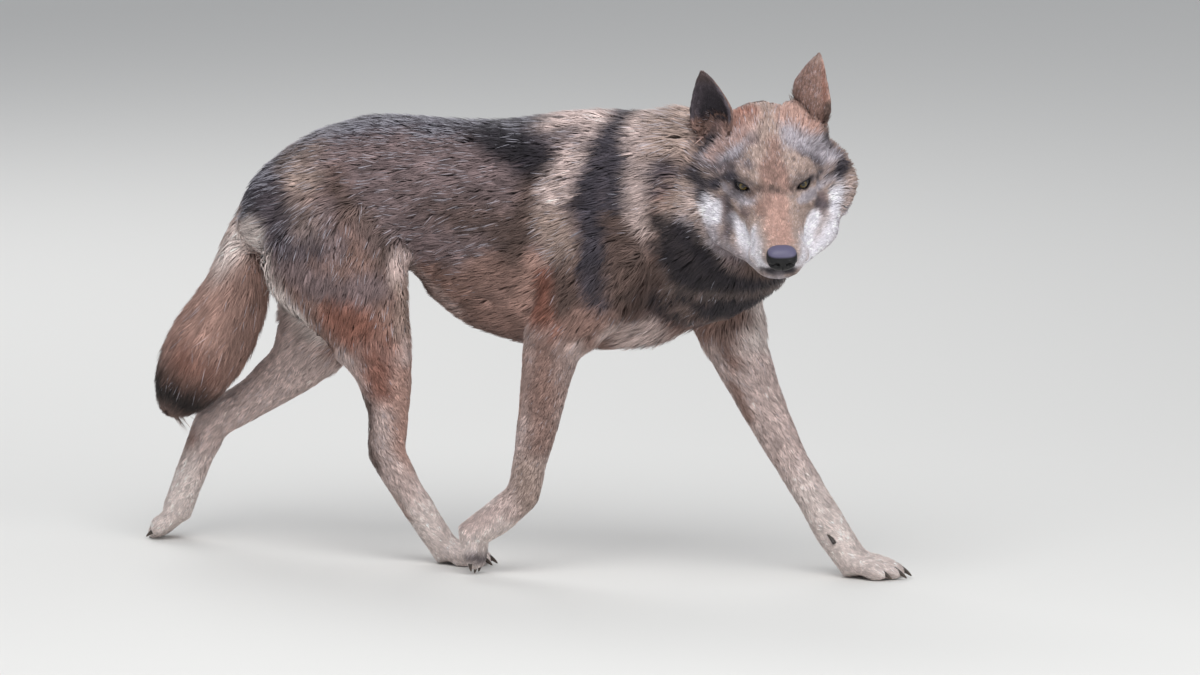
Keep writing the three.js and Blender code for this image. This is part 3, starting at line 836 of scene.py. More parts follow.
bodyLines = [
    ("spot in the band", "charcoal", 0, 0.011, 0.85, [(0.122, 0.585), (0.142, 0.586)]),
    ("withers, shadow", "smoke", 0.1, 0.010, 0.7, [(0.060, 0.680), (0.095, 0.693), (0.130, 0.686)]),
    ("throat, streak", "brown", 0, 0.010, 0.6, [(0.319, 0.460), (0.338, 0.440)]),
    ("hip, red", "tan", 0, 0.013, 0.6, [(-0.272, 0.619), (-0.261, 0.589)]),
    # painted shade in the fold of the flank
    (
        "shade in the fold of the flank", "brown", 0, 0.018, 0.96,
        [(-0.264, 0.585), (-0.236, 0.556), (-0.215, 0.548), (-0.184, 0.508), (-0.182, 0.490)],
    ),
    ("groin line", "pale", 0, 0.009, 0.75, [(-0.142, 0.462), (-0.113, 0.427), (-0.085, 0.396)]),
    ("belly edge", "brown", 0, 0.014, 0.6, [(-0.060, 0.360), (0.010, 0.350)]),
    ("beside the tail, pale", "cream", 0, 0.016, 0.95, [(-0.434, 0.502), (-0.450, 0.495)]),
    ("over the tail", "slate", 0.2, 0.016, 0.8, [(-0.417, 0.580), (-0.438, 0.546)]),
    ("groin, pale", "pale", 0, 0.014, 0.8, [(-0.160, 0.482), (-0.158, 0.455)]),
    ("thigh, front edge", "buff", 0, 0.011, 0.85, [(-0.155, 0.450), (-0.146, 0.390), (-0.146, 0.312)]),
    ("thigh, mid", "buff", 0.1, 0.028, 0.55, [(-0.330, 0.560), (-0.306, 0.535)]),
    ("flank, low", "taupe", 0.1, 0.034, 0.6, [(-0.160, 0.545), (-0.110, 0.535)]),
    ("belly side", "tan", 0.1, 0.026, 0.6, [(-0.110, 0.455), (-0.060, 0.445)]),
]
tailMarks = [
    ("tail, white", "cream", 0, 0.034, 0.95, [(-0.440, 0.505), (-0.470, 0.470), (-0.500, 0.440)]),
    ("tail, outer side", "fawn", 0, 0.030, 0.9, [(-0.515, 0.425), (-0.546, 0.370), (-0.564, 0.320)]),
    ("tail, middle", "fawn", 0, 0.026, 0.85, [(-0.468, 0.415), (-0.490, 0.371), (-0.515, 0.320)]),
    ("tail, inner side", "tan", 0, 0.025, 0.9, [(-0.440, 0.425), (-0.440, 0.371), (-0.462, 0.295)]),
    ("tail root", "slate", 0.3, 0.013, 0.9, [(-0.445, 0.575), (-0.478, 0.535), (-0.520, 0.485)]),
    ("tail, low", "rust", 0, 0.024, 0.85, [(-0.535, 0.300), (-0.500, 0.275)]),
    ("tail, low edge", "tan", 0, 0.020, 0.8, [(-0.588, 0.300), (-0.592, 0.280)]),
    ("tail tip", "black", 0, 0.044, 1.0, [(-0.620, 0.262), (-0.562, 0.242), (-0.510, 0.210)]),
]
legMarks = {
    "hind_right": [
        ("shin, red", "rust", 0, 0.034, 0.95, [(-0.190, 0.350), (-0.183, 0.280)]),
        ("hock", "brown", 0, 0.014, 0.9, [(-0.213, 0.255), (-0.216, 0.190), (-0.200, 0.150)]),
        ("shin, front", "fawn", 0, 0.017, 0.95, [(-0.148, 0.300), (-0.158, 0.200), (-0.150, 0.145)]),
        ("pastern", "cream", 0, 0.038, 0.9, [(-0.140, 0.095), (-0.100, 0.045)]),
        ("above the pastern", "pale", 0, 0.020, 0.9, [(-0.165, 0.142), (-0.148, 0.110)]),
        ("under the hock", "tan", 0, 0.012, 0.8, [(-0.190, 0.110), (-0.165, 0.070)]),
    ],
    "fore_right": [
        ("upper foreleg", "tan", 0, 0.040, 0.95, [(0.092, 0.365), (0.091, 0.300)]),
        ("foreleg, brown", "tan", 0, 0.028, 0.9, [(0.088, 0.269), (0.083, 0.205)]),
        ("foreleg, back", "fawn", 0, 0.010, 0.8, [(0.048, 0.340), (0.040, 0.250)]),
        ("wrist", "buff", 0, 0.034, 0.95, [(0.062, 0.160), (0.062, 0.120)]),
        ("pastern", "pale", 0, 0.018, 0.97, [(0.035, 0.108), (-0.030, 0.080)]),
        ("under the pastern", "tan", 0, 0.013, 0.85, [(0.045, 0.055), (0.020, 0.035)]),
        ("sole", "smoke", 0, 0.012, 0.85, [(-0.020, 0.026), (0.000, 0.018)]),
    ],
    "hind_left": [
        ("shin", "pale", 0, 0.055, 0.95, [(-0.410, 0.320), (-0.366, 0.281)]),
        ("hock", "pale", 0, 0.024, 0.8, [(-0.518, 0.207), (-0.523, 0.179)]),
        ("hock, back", "tan", 0, 0.013, 0.85, [(-0.560, 0.165), (-0.572, 0.130)]),
        ("pastern", "cream", 0, 0.026, 0.95, [(-0.562, 0.115), (-0.590, 0.050)]),
    ],
    "fore_left": [
        ("foreleg", "pale", 0, 0.034, 0.95, [(0.395, 0.280), (0.430, 0.190)]),
        ("wrist and paw", "cream", 0, 0.055, 0.95, [(0.480, 0.110), (0.560, 0.028)]),
        # painted shade at the far elbow
        ("elbow", "tan", 0, 0.018, 0.9, [(0.325, 0.366), (0.345, 0.330)]),
        ("front of the arm", "cream", 0, 0.020, 0.97, [(0.392, 0.400), (0.376, 0.355)]),
        ("foreleg, back", "tan", 0, 0.012, 0.85, [(0.335, 0.290), (0.365, 0.240)]),
    ],
}
armMarks = [  # on the left shoulder, seen beyond the throat
    ("arm", "tan", 0, 0.060, 1.0, [(0.300, 0.440), (0.345, 0.360)]),
    # painted shade at the far elbow
    ("elbow", "brown", 0, 0.020, 0.7, [(0.335, 0.380), (0.345, 0.350)]),
    ("front of the arm", "cream", 0, 0.022, 0.97, [(0.385, 0.440), (0.390, 0.395), (0.376, 0.350)]),
]
# through points of the head frame in millimetres, the same on both sides
headZones = [
    ("nape", "buff", 0.2, 26, 0.8, [(-150, 40, 20), (-150, 0, 40)]),
    ("crown", "fawn", 0.1, 22, 1, [(-92, 34, 58), (-80, 60, 58)]),
    ("crown line", "tan", 0.1, 8, 1.2, [(-118, 0, 58), (-87, 0, 55), (-60, 0, 48)]),
    ("forehead", "tan", 0.1, 13, 1, [(-42, 0, 43), (-13, 0, 28)]),
    ("brow", "ash", 0.2, 18, 1.4, [(-66, 36, 48), (-64, 66, 38), (-72, 88, 12)]),
    ("brow, low", "smoke", 0.25, 12, 1.1, [(-42, 48, 30), (-54, 74, 12)]),
    ("behind the temple", "smoke", 0, 13, 0.9, [(-82, 92, 26), (-74, 108, 2)]),
    ("temple", "slate", 0, 10, 1.5, [(-66, 122, -6), (-54, 119, -6), (-42, 112, -14)]),
    ("bridge", "tan", 0, 12, 1, [(-7, 8, 24), (17, 8, 4)]),
    ("muzzle", "fawn", 0, 15, 1.4, [(38, 0, -11), (66, 0, -20), (92, 0, -30), (112, 0, -36)]),
    ("eye bag", "ash", 0, 7, 1.2, [(26, 38, -17), (6, 54, -15), (-14, 68, -14)]),
    ("under the eye", "buff", 0, 7, 1, [(7, 57, -33), (30, 40, -27), (46, 33, -31)]),
    ("between the patches", "taupe", 0, 9, 1.2, [(-8, 78, -34), (8, 74, -54)]),
    ("low cheek", "ash", 0, 17, 1.3, [(4, 96, -82), (14, 76, -98), (20, 54, -108), (34, 44, -104)]),
    ("ruff", "buff", 0.15, 17, 1.2, [(-46, 130, -34), (-32, 128, -54)]),
    ("ruff, low", "ash", 0.35, 13, 1.1, [(-26, 128, -70), (-12, 114, -84)]),
    ("outer patch", "white", 0, 10, 2.5, [(-22, 101, -37), (-13, 100, -47), (0, 94, -64)]),
    ("inner patch", "white", 0, 9, 2.2, [(12, 62, -53), (30, 52, -64), (46, 43, -70)]),
    ("muzzle side", "white", 0, 14, 1.6, [(48, 38, -74), (72, 31, -74), (98, 25, -72), (112, 22, -60)]),
    ("chin", "ash", 0, 12, 1, [(108, 8, -98), (80, 16, -110)]),
    ("jaw", "taupe", 0, 14, 1, [(16, 60, -122), (12, 44, -134)]),
    ("throat", "brown", 0, 16, 1, [(18, 34, -138), (14, 0, -150)]),
    # painted shade under the ruff and the jaw, where the head shades the throat
    (
        "shade under the ruff", "charcoal", 0, 14, 1.8,
        [(-16, 140, -90), (-2, 128, -104), (14, 104, -126), (22, 74, -158), (22, 0, -180)],
    ),
    ("shade under the jaw", "charcoal", 0, 38, 2.2, [(-40, 165, -120), (-10, 120, -170), (0, 0, -210)]),
]
headLines = [
    ("ear root", "rust", 0, 11, 0.7, [(-86, 62, 54), (-100, 84, 44)]),
    ("over the eye", "slate", 0, 6.5, 0.95, [(-30, 64, 9), (-16, 52, 14), (-4, 42, 12)]),
    ("inner brow", "buff", 0, 7, 0.85, [(-16, 24, 27), (-16, 34, 25), (0, 28, 14)]),
    ("eye line", "slate", 0, 5.5, 0.95, [(-14, 60, 3), (-32, 78, -2), (-56, 104, -8)]),
    ("bridge spot", "brown", 0, 6, 0.7, [(17, 4, 4), (18, 0, 4)]),
    ("tear line", "smoke", 0, 6, 0.95, [(6, 33, 4), (18, 22, -2)]),
    ("lip", "smoke", 0, 5, 0.75, [(46, 46, -80), (62, 38, -90), (90, 26, -88)]),
    (
        "mouth", "black", 0, 5.5, 0.98,
        [(136, 0, -76), (129, 12, -76), (117, 24, -76), (100, 31, -79), (82, 34, -71)],
    ),
]
# and in the same frame, each on one side only, the left side being the one with positive y. The wolf's
# right side is turned from the light, and several strokes there are painted shade
faceStrokes = [
    ("crown, left", "fawn", 0.05, 16, 0.8, [(-109, 29, 67), (-88, 56, 68), (-76, 74, 59)]),
    ("crown, right", "fawn", 0.05, 14, 0.8, [(-120, -26, 63), (-104, -28, 62), (-84, -20, 60)]),
    ("by the right ear", "rust", 0, 13, 0.85, [(-100, -26, 78), (-96, -46, 72), (-86, -50, 60)]),
    ("below the right ear", "fawn", 0, 12, 0.75, [(-82, -62, 52), (-64, -75, 46), (-58, -92, 19)]),
    ("under the right ear", "charcoal", 0, 9, 0.92, [(-74, -83, 46), (-76, -99, 31), (-78, -108, 16)]),
    ("brow, left", "ash", 0.2, 14, 0.85, [(-45, 34, 46), (-55, 72, 29), (-70, 104, 9)]),
    ("forehead, right", "buff", 0.05, 17, 0.95, [(-70, -8, 60), (-46, -20, 50), (-30, -24, 42)]),
    (
        "tan over the right eye", "fawn", 0, 9, 0.85,
        [(-73, -24, 60), (-66, -38, 54), (-59, -51, 49), (-52, -74, 30)],
    ),
    ("pale over the right eye", "ash", 0.15, 10, 0.85, [(-46, -73, 23), (-42, -52, 37)]),
    # painted shade over the right eye
    ("shade over the right eye", "taupe", 0, 8, 0.8, [(-46, -33, 49), (-50, -24, 52)]),
    # the right brow's own tone, darkened by painted shade
    (
        "brow and shade, right", "smoke", 0.1, 11, 0.85,
        [(-50, -104, 6), (-38, -88, 10), (-24, -62, 20), (-14, -38, 28)],
    ),
    ("inner brow, left", "buff", 0, 8, 0.8, [(-7, 43, 28), (-9, 55, 22)]),
    # the right temple's dark marking, deepened by painted shade, high and low
    ("temple and shade, right", "charcoal", 0, 13, 0.97, [(-36, -114, -10), (-24, -106, -16), (-22, -88, -10)]),
    ("temple and shade, right, low", "slate", 0, 10, 0.97, [(-25, -115, -22), (-17, -112, -32)]),
    # painted shade behind the right eye and in its socket
    ("shade behind the right eye", "slate", 0, 10, 0.9, [(-24, -90, -8), (-20, -74, 2), (-8, -60, 12)]),
    ("shade in the right socket", "slate", 0, 9, 0.8, [(-12, -64, 10), (2, -62, -5), (18, -40, -10)]),
    ("below the temple, left", "ash", 0.1, 8, 0.85, [(-16, 76, -15), (-28, 95, -13), (-36, 104, -14)]),
    (
        "eye line, left", "charcoal", 0, 4.5, 0.9,
        [(-12, 64, 2), (-18, 73, -6), (-40, 104, -7), (-52, 116, -6)],
    ),
    ("nasion", "tan", 0, 10, 0.8, [(-8, 2, 33), (4, 10, 22), (16, 18, 11)]),
    ("inner corner, right", "brown", 0, 8, 0.93, [(23, -34, -2), (18, -27, 4), (20, -23, 5)]),
    ("spot", "brown", 0, 9, 0.98, [(23, -3, 5), (27, 6, 3)]),
    # painted shade on the right side of the muzzle
    ("shade on the right of the muzzle", "tan", 0, 9, 0.75, [(38, -28, -10), (58, -25, -16)]),
    ("muzzle side, right", "white", 0, 14, 0.95, [(80, -38, -42), (113, -36, -50), (126, -29, -58)]),
    ("muzzle side, left", "white", 0, 14, 0.95, [(76, 42, -58), (100, 36, -48), (124, 33, -56)]),
    ("bridge, right", "tan", 0, 8, 0.8, [(47, -23, -11), (40, -16, -4), (36, -10, -2)]),
    ("lips", "charcoal", 0, 7, 0.98, [(132, 0, -78), (129, -14, -77), (120, -22, -80)]),
    ("lips, left", "charcoal", 0, 7, 0.98, [(132, 0, -78), (128, 14, -78), (121, 20, -82)]),
    ("muzzle end", "fawn", 0, 8, 0.8, [(96, 0, -28), (120, 0, -32), (130, 4, -33)]),
    ("chin", "ash", 0, 13, 0.9, [(124, 0, -92), (108, 10, -100), (84, 20, -110)]),
    ("chin, right", "ash", 0, 13, 0.8, [(120, -14, -94), (96, -26, -104), (70, -40, -110)]),
    ("under the right eye", "ash", 0, 8, 0.75, [(22, -53, -20), (31, -36, -10)]),
    ("under the left eye", "ash", 0, 7, 0.8, [(19, 49, -13), (6, 67, -21)]),
    ("outer patch, left", "white", 0, 9, 0.97, [(-28, 115, -26), (-14, 113, -42), (-1, 104, -62)]),
    ("grey, left", "smoke", 0, 9, 0.9, [(7, 70, -34), (3, 84, -42)]),
    ("inner patch, left", "white", 0, 8, 0.95, [(18, 69, -48), (35, 61, -61), (57, 51, -74)]),
    ("outer patch, right", "white", 0, 9, 0.97, [(-4, -88, -37), (12, -88, -55)]),
    ("grey, right", "smoke", 0, 10, 0.9, [(2, -71, -22), (21, -67, -50), (35, -72, -70)]),
    ("inner patch, right", "white", 0, 10, 0.97, [(40, -47, -54), (60, -40, -58), (84, -38, -58)]),
    (
        "cheek side, left", "white", 0, 19, 0.95,
        [(18, 92, -72), (42, 82, -80), (68, 64, -84), (94, 50, -80)],
    ),
    ("cheek side, right", "ash", 0, 15, 0.85, [(50, -78, -84), (68, -62, -90), (92, -48, -88)]),
    ("cheek edge, right", "ash", 0, 13, 0.8, [(22, -92, -74), (30, -92, -84)]),
    ("ruff, left", "pale", 0.15, 11, 0.8, [(-34, 128, -26), (-26, 130, -44), (-12, 122, -66)]),
    ("ear root, right", "slate", 0, 12, 0.9, [(-91, -80, 55), (-90, -90, 50), (-97, -97, 43)]),
    ("inner corner, left", "brown", 0, 7, 0.8, [(10, 34, 2), (16, 26, 4)]),
    ("upper lid, left", "slate", 0, 6.5, 0.9, [(9, 33, 8), (3, 37, 13), (-8, 52, 12), (-20, 64, 5)]),
    ("upper lid, right", "slate", 0, 7, 0.85, [(8, -36, 8), (1, -42, 13), (-8, -52, 12), (-18, -64, 8)]),
    ("ruff, right", "pale", 0.15, 12, 0.8, [(-34, -126, -32), (-24, -130, -44), (-18, -131, -54)]),
    ("ruff, right, low", "buff", 0.1, 13, 0.8, [(-7, -119, -66), (5, -108, -87)]),
    # painted shade under the right ruff
    ("shade under the right ruff", "charcoal", 0, 10, 0.9, [(5, -113, -92), (-10, -124, -86)]),
    # painted shade in the hollow of the right cheek
    ("shade in the right cheek's hollow", "taupe", 0, 8, 0.8, [(40, -44, -26), (30, -52, -30)]),
    ("top of the bridge", "fawn", 0, 9, 0.8, [(46, 8, -7), (36, 2, -1)]),
    ("outer corner, left", "slate", 0, 6, 0.9, [(-6, 62, 6), (-15, 68, 0)]),
    ("temple, left", "charcoal", 0, 8, 0.85, [(-54, 122, -9), (-44, 115, -10)]),
    ("jaw, right", "taupe", 0, 12, 0.7, [(16, -80, -101), (30, -60, -108)]),
]
eyeRim = {"tone": "charcoal", "reach": 0.8, "strength": 0.9}  # dark hair round the lids
# each ear's inside darkens deep in, away from its opening, with painted shade
earLook = {  # root is the front of the ear's root, opens is the way the inside faces, in the head frame
    "ear_left": dict(
        inside="fawn", hollowShade="brown", rim="rust", tip="buff", root="brown",
        opens=(-0.1, 0.99, 0),
    ),
    "ear_right": dict(
        inside="smoke", hollowShade="charcoal", rim="brown", tip="brown", root="tan",
        opens=(0.75, -0.65, 0.1),
    ),
}
earShares = {"hollowShade": 0.8, "rim": 0.7, "tip": 0.5, "root": 0.9}
earReach = {  # how far each fades. The tip and the root start at a percentile of the ear's height
    "hollowShade": 9 * mm,
    "tip": (88, 14 * mm),
    "root": (34, 8 * mm),
}
markPlaces = {
    "height": 0.8,  # the marks lie on the coat, at this share of its depth
    "plainFlecks": 0.1,
    "waves": (0.05, 0.004),  # on the body, the size and the depth of the waves in a mark's edge, metres
    "faceWaves": (22, 1.5),  # and on the face, millimetres
    "below": (-185, -25),  # in the head frame, where the head's marks give way to the body's
    "behind": (-120, -30),
}
mottling = {"trunk": 0.24, "neck": 0.20, "upperLegs": 0.24, "tail": 0.12, "head": 0.06, "lowerLegs": 0.06}
mottlingWaves = ((0.045, 21, 0.45), (0.014, 22, 0.55))  # size in metres, seed and share


rippleWaves = {"number": 7, "spread": (0.7, 1.5), "tallest": 2.6}  # about as high as all reach together


def ripples(points, size, seed):
    # smooth waves of about the given size, from -1 to 1
    chance = np.random.default_rng(seed)
    height = 0
    for _ in range(rippleWaves["number"]):
        way = unit(chance.normal(size=3)) * 2 * math.pi / (size * chance.uniform(*rippleWaves["spread"]))
        height = height + np.sin(points @ way + chance.uniform(0, 6.28))
    return height / rippleWaves["tallest"]


def toLine(p, line):
    # distance from each place to the nearest part of a line
    line = np.array(line, float)
    nearest = np.full(len(p), np.inf)
    for a, b in zip(line[:-1], line[1:]):
        t = np.clip((p - a) @ (b - a) / np.sum((b - a) ** 2), 0, 1)[:, None]
        nearest = np.minimum(nearest, np.linalg.norm(p - a - t * (b - a), axis=1))
    return nearest


def asTone(tone, flecks):
    return np.array([*linear(coatTones[tone]), flecks])


baseWeight = 0.02  # of the region's own colour, beside a zone's 1
zoneFall = 2.2  # how fast a zone's weight falls with distance


def zoned(p, zones, base):
    # each place takes the colour of the zones near it, in proportion to how near they are
    total = base * baseWeight
    weight = np.full(len(p), baseWeight)
    for _, name, flecks, reach, strength, line in zones:
        near = strength * np.exp(-zoneFall * (toLine(p, line) / reach) ** 2)
        total = total + near[:, None] * asTone(name, flecks)
        weight = weight + near
    return total / weight[:, None]


def lined(tone, p, marks, where):
    # strokes laid over, one after another
    for _, name, flecks, reach, strength, line in marks:
        share = strength * hill(toLine(p, line), reach, 2.4) * where
        tone = mix(tone, asTone(name, flecks), share[:, None])
    return tone


def onNodes(names, rounds=3):
    mine = np.isin(nodeNear, [fleshNodes.index(name) for name in names])
    return net.spread(mine, rounds)[:, 0]


def edgeWaves(points, size, depth, seed):
    # small moves each way, so that no mark has a smooth edge
    return np.column_stack([ripples(points, size, seed + k) for k in range(3)]) * depth


def markings():
    s = markPlaces
    plain = np.array([asTone(baseTones[name], s["plainFlecks"]) for name in regions])
    tone = net.spread(plain[regionNear], 4)
    outer = places + normals * (coat["depth"] * s["height"] * mm)[:, None]
    sideView = (outer + edgeWaves(places, *s["waves"], 0))[:, [0, 2]]
    p = toHead(outer)
    p += edgeWaves(p, *s["faceWaves"], 10)
    mirrored = np.column_stack([p[:, 0], np.abs(p[:, 1]), p[:, 2]])
    upper = regions["upperLegs"]["nodes"]
    onBody = onNodes(["trunk", "neck", *upper], 5)
    onHead = onNodes(["head", "lower_jaw"], 3)
    farBelow = rise(p[:, 2], *s["below"])
    farBack = rise(p[:, 0], *s["behind"])
    onBody = np.maximum(onBody, onHead * np.maximum(farBelow, farBack))[:, None]
    tone = mix(tone, zoned(sideView, bodyZones, tone), onBody)
    tone = lined(tone, sideView, bodyLines, onBody[:, 0])
    tone = lined(tone, sideView, tailMarks, onNodes(["tail"], 2))
    for leg, marks in legMarks.items():
        lower = [node for node in fleshNodes if node.startswith(leg) and node not in upper]
        tone = lined(tone, sideView, marks, onNodes(lower))
    tone = lined(tone, sideView, armMarks, onNodes(["fore_left_shoulder"], 4))
    face = onHead * (1 - farBelow) * (1 - farBack)
    tone = mix(tone, zoned(mirrored, headZones, tone), face[:, None])
    tone = lined(tone, mirrored, headLines, face)
    tone = lined(tone, p, faceStrokes, face)
    for side in (1, -1):
        _, _, deep, size = inEyeFrame(toHead(places), side)
        rim = eyeRim["strength"] * hill(np.maximum(size, 1) - 1, eyeRim["reach"]) * (deep > 0)
        tone = mix(tone, asTone(eyeRim["tone"], 0), rim[:, None])
    tone = earTones(tone)
    waves = sum(ripples(places, size, seed) * share for size, seed, share in mottlingWaves)
    amount = np.array([mottling.get(name, 0) for name in regions])
    amount = net.spread(amount[regionNear], 6)[:, 0]
    tone[:, :3] *= np.exp(waves * amount)[:, None]
    return tone


def earTones(tone):
    for name, look in earLook.items():
        here = onNodes([name], 1)
        opens = unit(np.array(look["opens"])) @ headAxes
        outward = normals @ opens
        mine = here > 0.5
        middle = places[mine].mean(axis=0)
        facing = np.clip(outward * 2.5, 0, 1) * here
        # painted shade deep in the ear's hollow
        depth = np.clip(-((places - middle) @ opens) / earReach["hollowShade"] + 0.2, 0, 1) * facing
        edge = np.clip(1 - np.abs(outward) * 2.5, 0, 1) * here
        percentile, over = earReach["tip"]
        high = rise(places[:, 2], np.percentile(places[mine, 2], percentile), over) * here
        percentile, over = earReach["root"]
        low = rise(places[:, 2], np.percentile(places[mine, 2], percentile), -over)
        low = low * here * np.clip(outward * 2 + 0.9, 0, 1)
        tone = mix(tone, asTone(look["inside"], 0), facing[:, None])
        for part, where in (("hollowShade", depth), ("rim", edge), ("tip", high), ("root", low)):
            tone = mix(tone, asTone(look[part], 0), (where * earShares[part])[:, None])
    return tone


coatTone = markings()
report("markings")

# materials
def furMaterial(name, grain, rough):
    # keratin hair, mostly matte with a soft gleam along each lock. A hair is under 0.1 mm wide, too fine
    # to show, so the grain is drawn as wide as a dozen hairs lying together
    material = newMaterial(name)
    tree = material.node_tree
    colour = addNode(tree, "ShaderNodeAttribute", {"attribute_name": "coatColour"})
    place = addNode(tree, "ShaderNodeTexCoord")
    strands = addNode(
        tree,
        "ShaderNodeTexNoise",
        values={"Scale": 1 / grain, "Detail": 2.0},
        links={"Vector": place.outputs["Object"]},
    )
    shade = addNode(
        tree,
        "ShaderNodeMapRange",
        values={"From Min": 0.3, "From Max": 0.7, "To Min": 0.86, "To Max": 1.12},
        links={"Value": strands.outputs["Fac"]},
    )
    tinted = addNode(
        tree,
        "ShaderNodeVectorMath",
        {"operation": "SCALE"},
        links={0: colour.outputs["Color"], "Scale": shade.outputs["Result"]},
    )
    bump = addNode(
        tree,
        "ShaderNodeBump",
        values={"Strength": 0.35, "Distance": 0.6 * mm},
        links={"Height": strands.outputs["Fac"]},
    )
    shader = addNode(
        tree,
        "ShaderNodeBsdfPrincipled",
        values={"Roughness": rough, "IOR": 1.55, "Specular IOR Level": 0.25},
        links={"Base Color": tinted.outputs[0], "Normal": bump.outputs["Normal"]},
    )
    return finishMaterial(material, shader)


def colourPoints(thing, colours):
    layer = thing.data.attributes.new("coatColour", "FLOAT_COLOR", "POINT")
    rgba = np.ones((len(colours), 4), dtype=np.float32)
    rgba[:, :3] = np.clip(colours, 0, 1)
    layer.data.foreach_set("color", rgba.ravel())


keratinFur = furMaterial("keratin_fur", 1.1 * mm, 0.6)
underfur = furMaterial("underfur_over_skin", 1.4 * mm, 0.8)
skinLook = {
    "underfur": 0.8,  # share of the coat's colour seen between tufts
    "lidColour": "#17141a",
    "lidEdge": (1.42, -0.14),  # bare skin, from the ball out to here, as a multiple of the opening
}


def skinColours():
    colours = coatTone[:, :3] * skinLook["underfur"]
    for side in (1, -1):
        a, b, deep, size = inEyeFrame(toHead(places), side)
        rim = rise(size, *skinLook["lidEdge"]) * (deep > 0)
        corner = np.clip((1.3 - np.abs(np.abs(a) - 1.05) * 4 - np.abs(b)), 0, 1) * (deep > 0)
        colours = mix(colours, linear(skinLook["lidColour"]), np.maximum(rim, corner)[:, None])
    return colours


skin = meshFrom("wolf_skin", places, triangles)
colourPoints(skin, skinColours())
skin.data.materials.append(underfur)
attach(skin, "root")
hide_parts(*fleshNodes)
report("skin")

# the coat: every tuft is a thin closed spindle that follows the skin and tapers to both ends
coatSettings = {
    "seed": 11,
    "sunk": 1.2,  # mm that the root lies under the skin
    "lowest": 0.4 * mm,  # over the floor
    "perLock": 10,  # tufts in a lock
    "size": (0.72, 1.15),  # least and most, as shares of the length
    "broad": (0.75, 1.2),  # and of the width
    "thickness": 0.22,  # of the width
    "sway": 0.16,  # how far a tuft turns from the lie of the coat
    "together": 0.7,  # share of that turn that a lock has in common
    "stray": 0.07,  # sideways spread of the tips, as a share of length
    "stand": 1.14,  # how high tips reach, as a share of the coat's depth
    "lower": 0.6,  # how much lower some of them lie
    "belly": (0.42, 0.7),  # a tuft is widest here along it, at this share of its tip's height
    "levelled": 0.4,  # how far the tips of a lock come to one height
    "spacing": 0.35,  # of the tips that meet, as a share of the spacing of their roots
    "draw": (0.5, 1.2),  # least and most of how far a tip is drawn to its lock
    "rootShade": 0.62,
    "shadeSpread": (0.14, 0.12),  # between locks, and between the tufts of one
    "tipShade": 1.05,
    "soft": 0.75,  # how far a tuft is shaded like the body under it
    "rounding": 0.4,  # how round its two edges are shaded
    "fleck": "#d3d0dc",
    "flecked": (0.3, 0.7),  # how much of the fleck's colour the back and the tip of a flecked tuft take
}
coatPieces = {  # the nodes that each covers, and the record's slot
    "coat_trunk_right": (["trunk"], "body_coat"),
    "coat_trunk_left": (["trunk"], "body_coat"),
    "coat_neck": (["neck"], "body_coat"),
    "coat_tail": (["tail"], "body_coat"),
    "coat_shoulders": (["fore_right_shoulder", "fore_left_shoulder"], "body_coat"),
    "coat_thighs": (["hind_right_thigh", "hind_left_thigh"], "body_coat"),
    "coat_forelegs": (["fore_right_foreleg", "fore_left_foreleg"], "leg_coat"),
    "coat_hind_legs": (["hind_right_lower_leg", "hind_left_lower_leg"], "leg_coat"),
    "coat_fore_paws": (["fore_right_paw", "fore_left_paw"], "leg_coat"),
    "coat_hind_paws": (["hind_right_paw", "hind_left_paw"], "leg_coat"),
    "coat_face": (["head", "lower_jaw"], "face_coat"),
    "coat_cheeks": (["head", "lower_jaw"], "face_coat"),
    "coat_ears": (["ear_left", "ear_right"], "ear_coat"),
}
bareParts = {
    "pads": 3 * mm,  # height of the pads, where they face down by at least the next
    "padsFace": -0.3,
    "lids": 1.32,  # as a multiple of the eye's opening
    "nose": 1.04,  # and of the leather
}
innerFace = (-60, 84, -100)  # mm in the head frame: coat_face lies ahead of, within and above these
skinTree = treeOf(places)


def onSkin(points, height):
    # the places over the skin nearest to the points given, at a height in mm
    near = nearestOf(skinTree, points)
    n = normals[near]
    offset = np.sum((points - places[near]) * n, axis=1, keepdims=True)
    return points + n * (height[:, None] * mm - offset), n, coatTone[near]


def unwrapped(chosen):
    # an unwrap of that part of the skin, filling the square
    used, corners = np.unique(triangles[chosen], return_inverse=True)
    part = meshFrom("unwrap", places[used], corners.reshape(-1, 3))
    part.data.uv_layers.new(name="OFBake")
    bpy.ops.object.select_all(action="DESELECT")
    part.select_set(True)
    bpy.context.view_layer.objects.active = part
    bpy.ops.object.mode_set(mode="EDIT")
    bpy.ops.mesh.select_all(action="SELECT")
    bpy.ops.uv.smart_project(angle_limit=1.15, island_margin=0.004, scale_to_bounds=True)
    bpy.ops.object.mode_set(mode="OBJECT")
    corners = np.zeros(len(part.data.loops) * 2)
    part.data.uv_layers["OFBake"].uv.foreach_get("vector", corners)
    bpy.data.objects.remove(part)
    return corners.reshape(-1, 3, 2)


def chosenFor(piece):
    nodes = [fleshNodes.index(node) for node in coatPieces[piece][0]]
    chosen = np.isin(nodeNear[triangles[:, 0]], nodes)
    centre = places[triangles].mean(axis=1)
    if piece.startswith("coat_trunk"):
        chosen &= (centre[:, 1] > middleY) == piece.endswith("left")
    if piece in ("coat_face", "coat_cheeks"):
        p = toHead(centre)
        back, side, low = innerFace
        isFace = (p[:, 0] > back) & (np.abs(p[:, 1]) < side) & (p[:, 2] > low)
        chosen &= isFace == (piece == "coat_face")
    return np.where(chosen)[0]


def isBare(corners):
    # nothing grows on the pads under the feet, on the rims of the eyes or under the nose leather
    centre = places[corners].mean(axis=1)
    facing = normals[corners].mean(axis=1)
    bare = (centre[:, 2] < bareParts["pads"]) & (facing[:, 2] < bareParts["padsFace"])
    for side in (1, -1):
        _, _, deep, size = inEyeFrame(toHead(centre), side)
        bare |= (size < bareParts["lids"]) & (deep > 0)
    return bare | (fromNose(toHead(centre)) < bareParts["nose"])


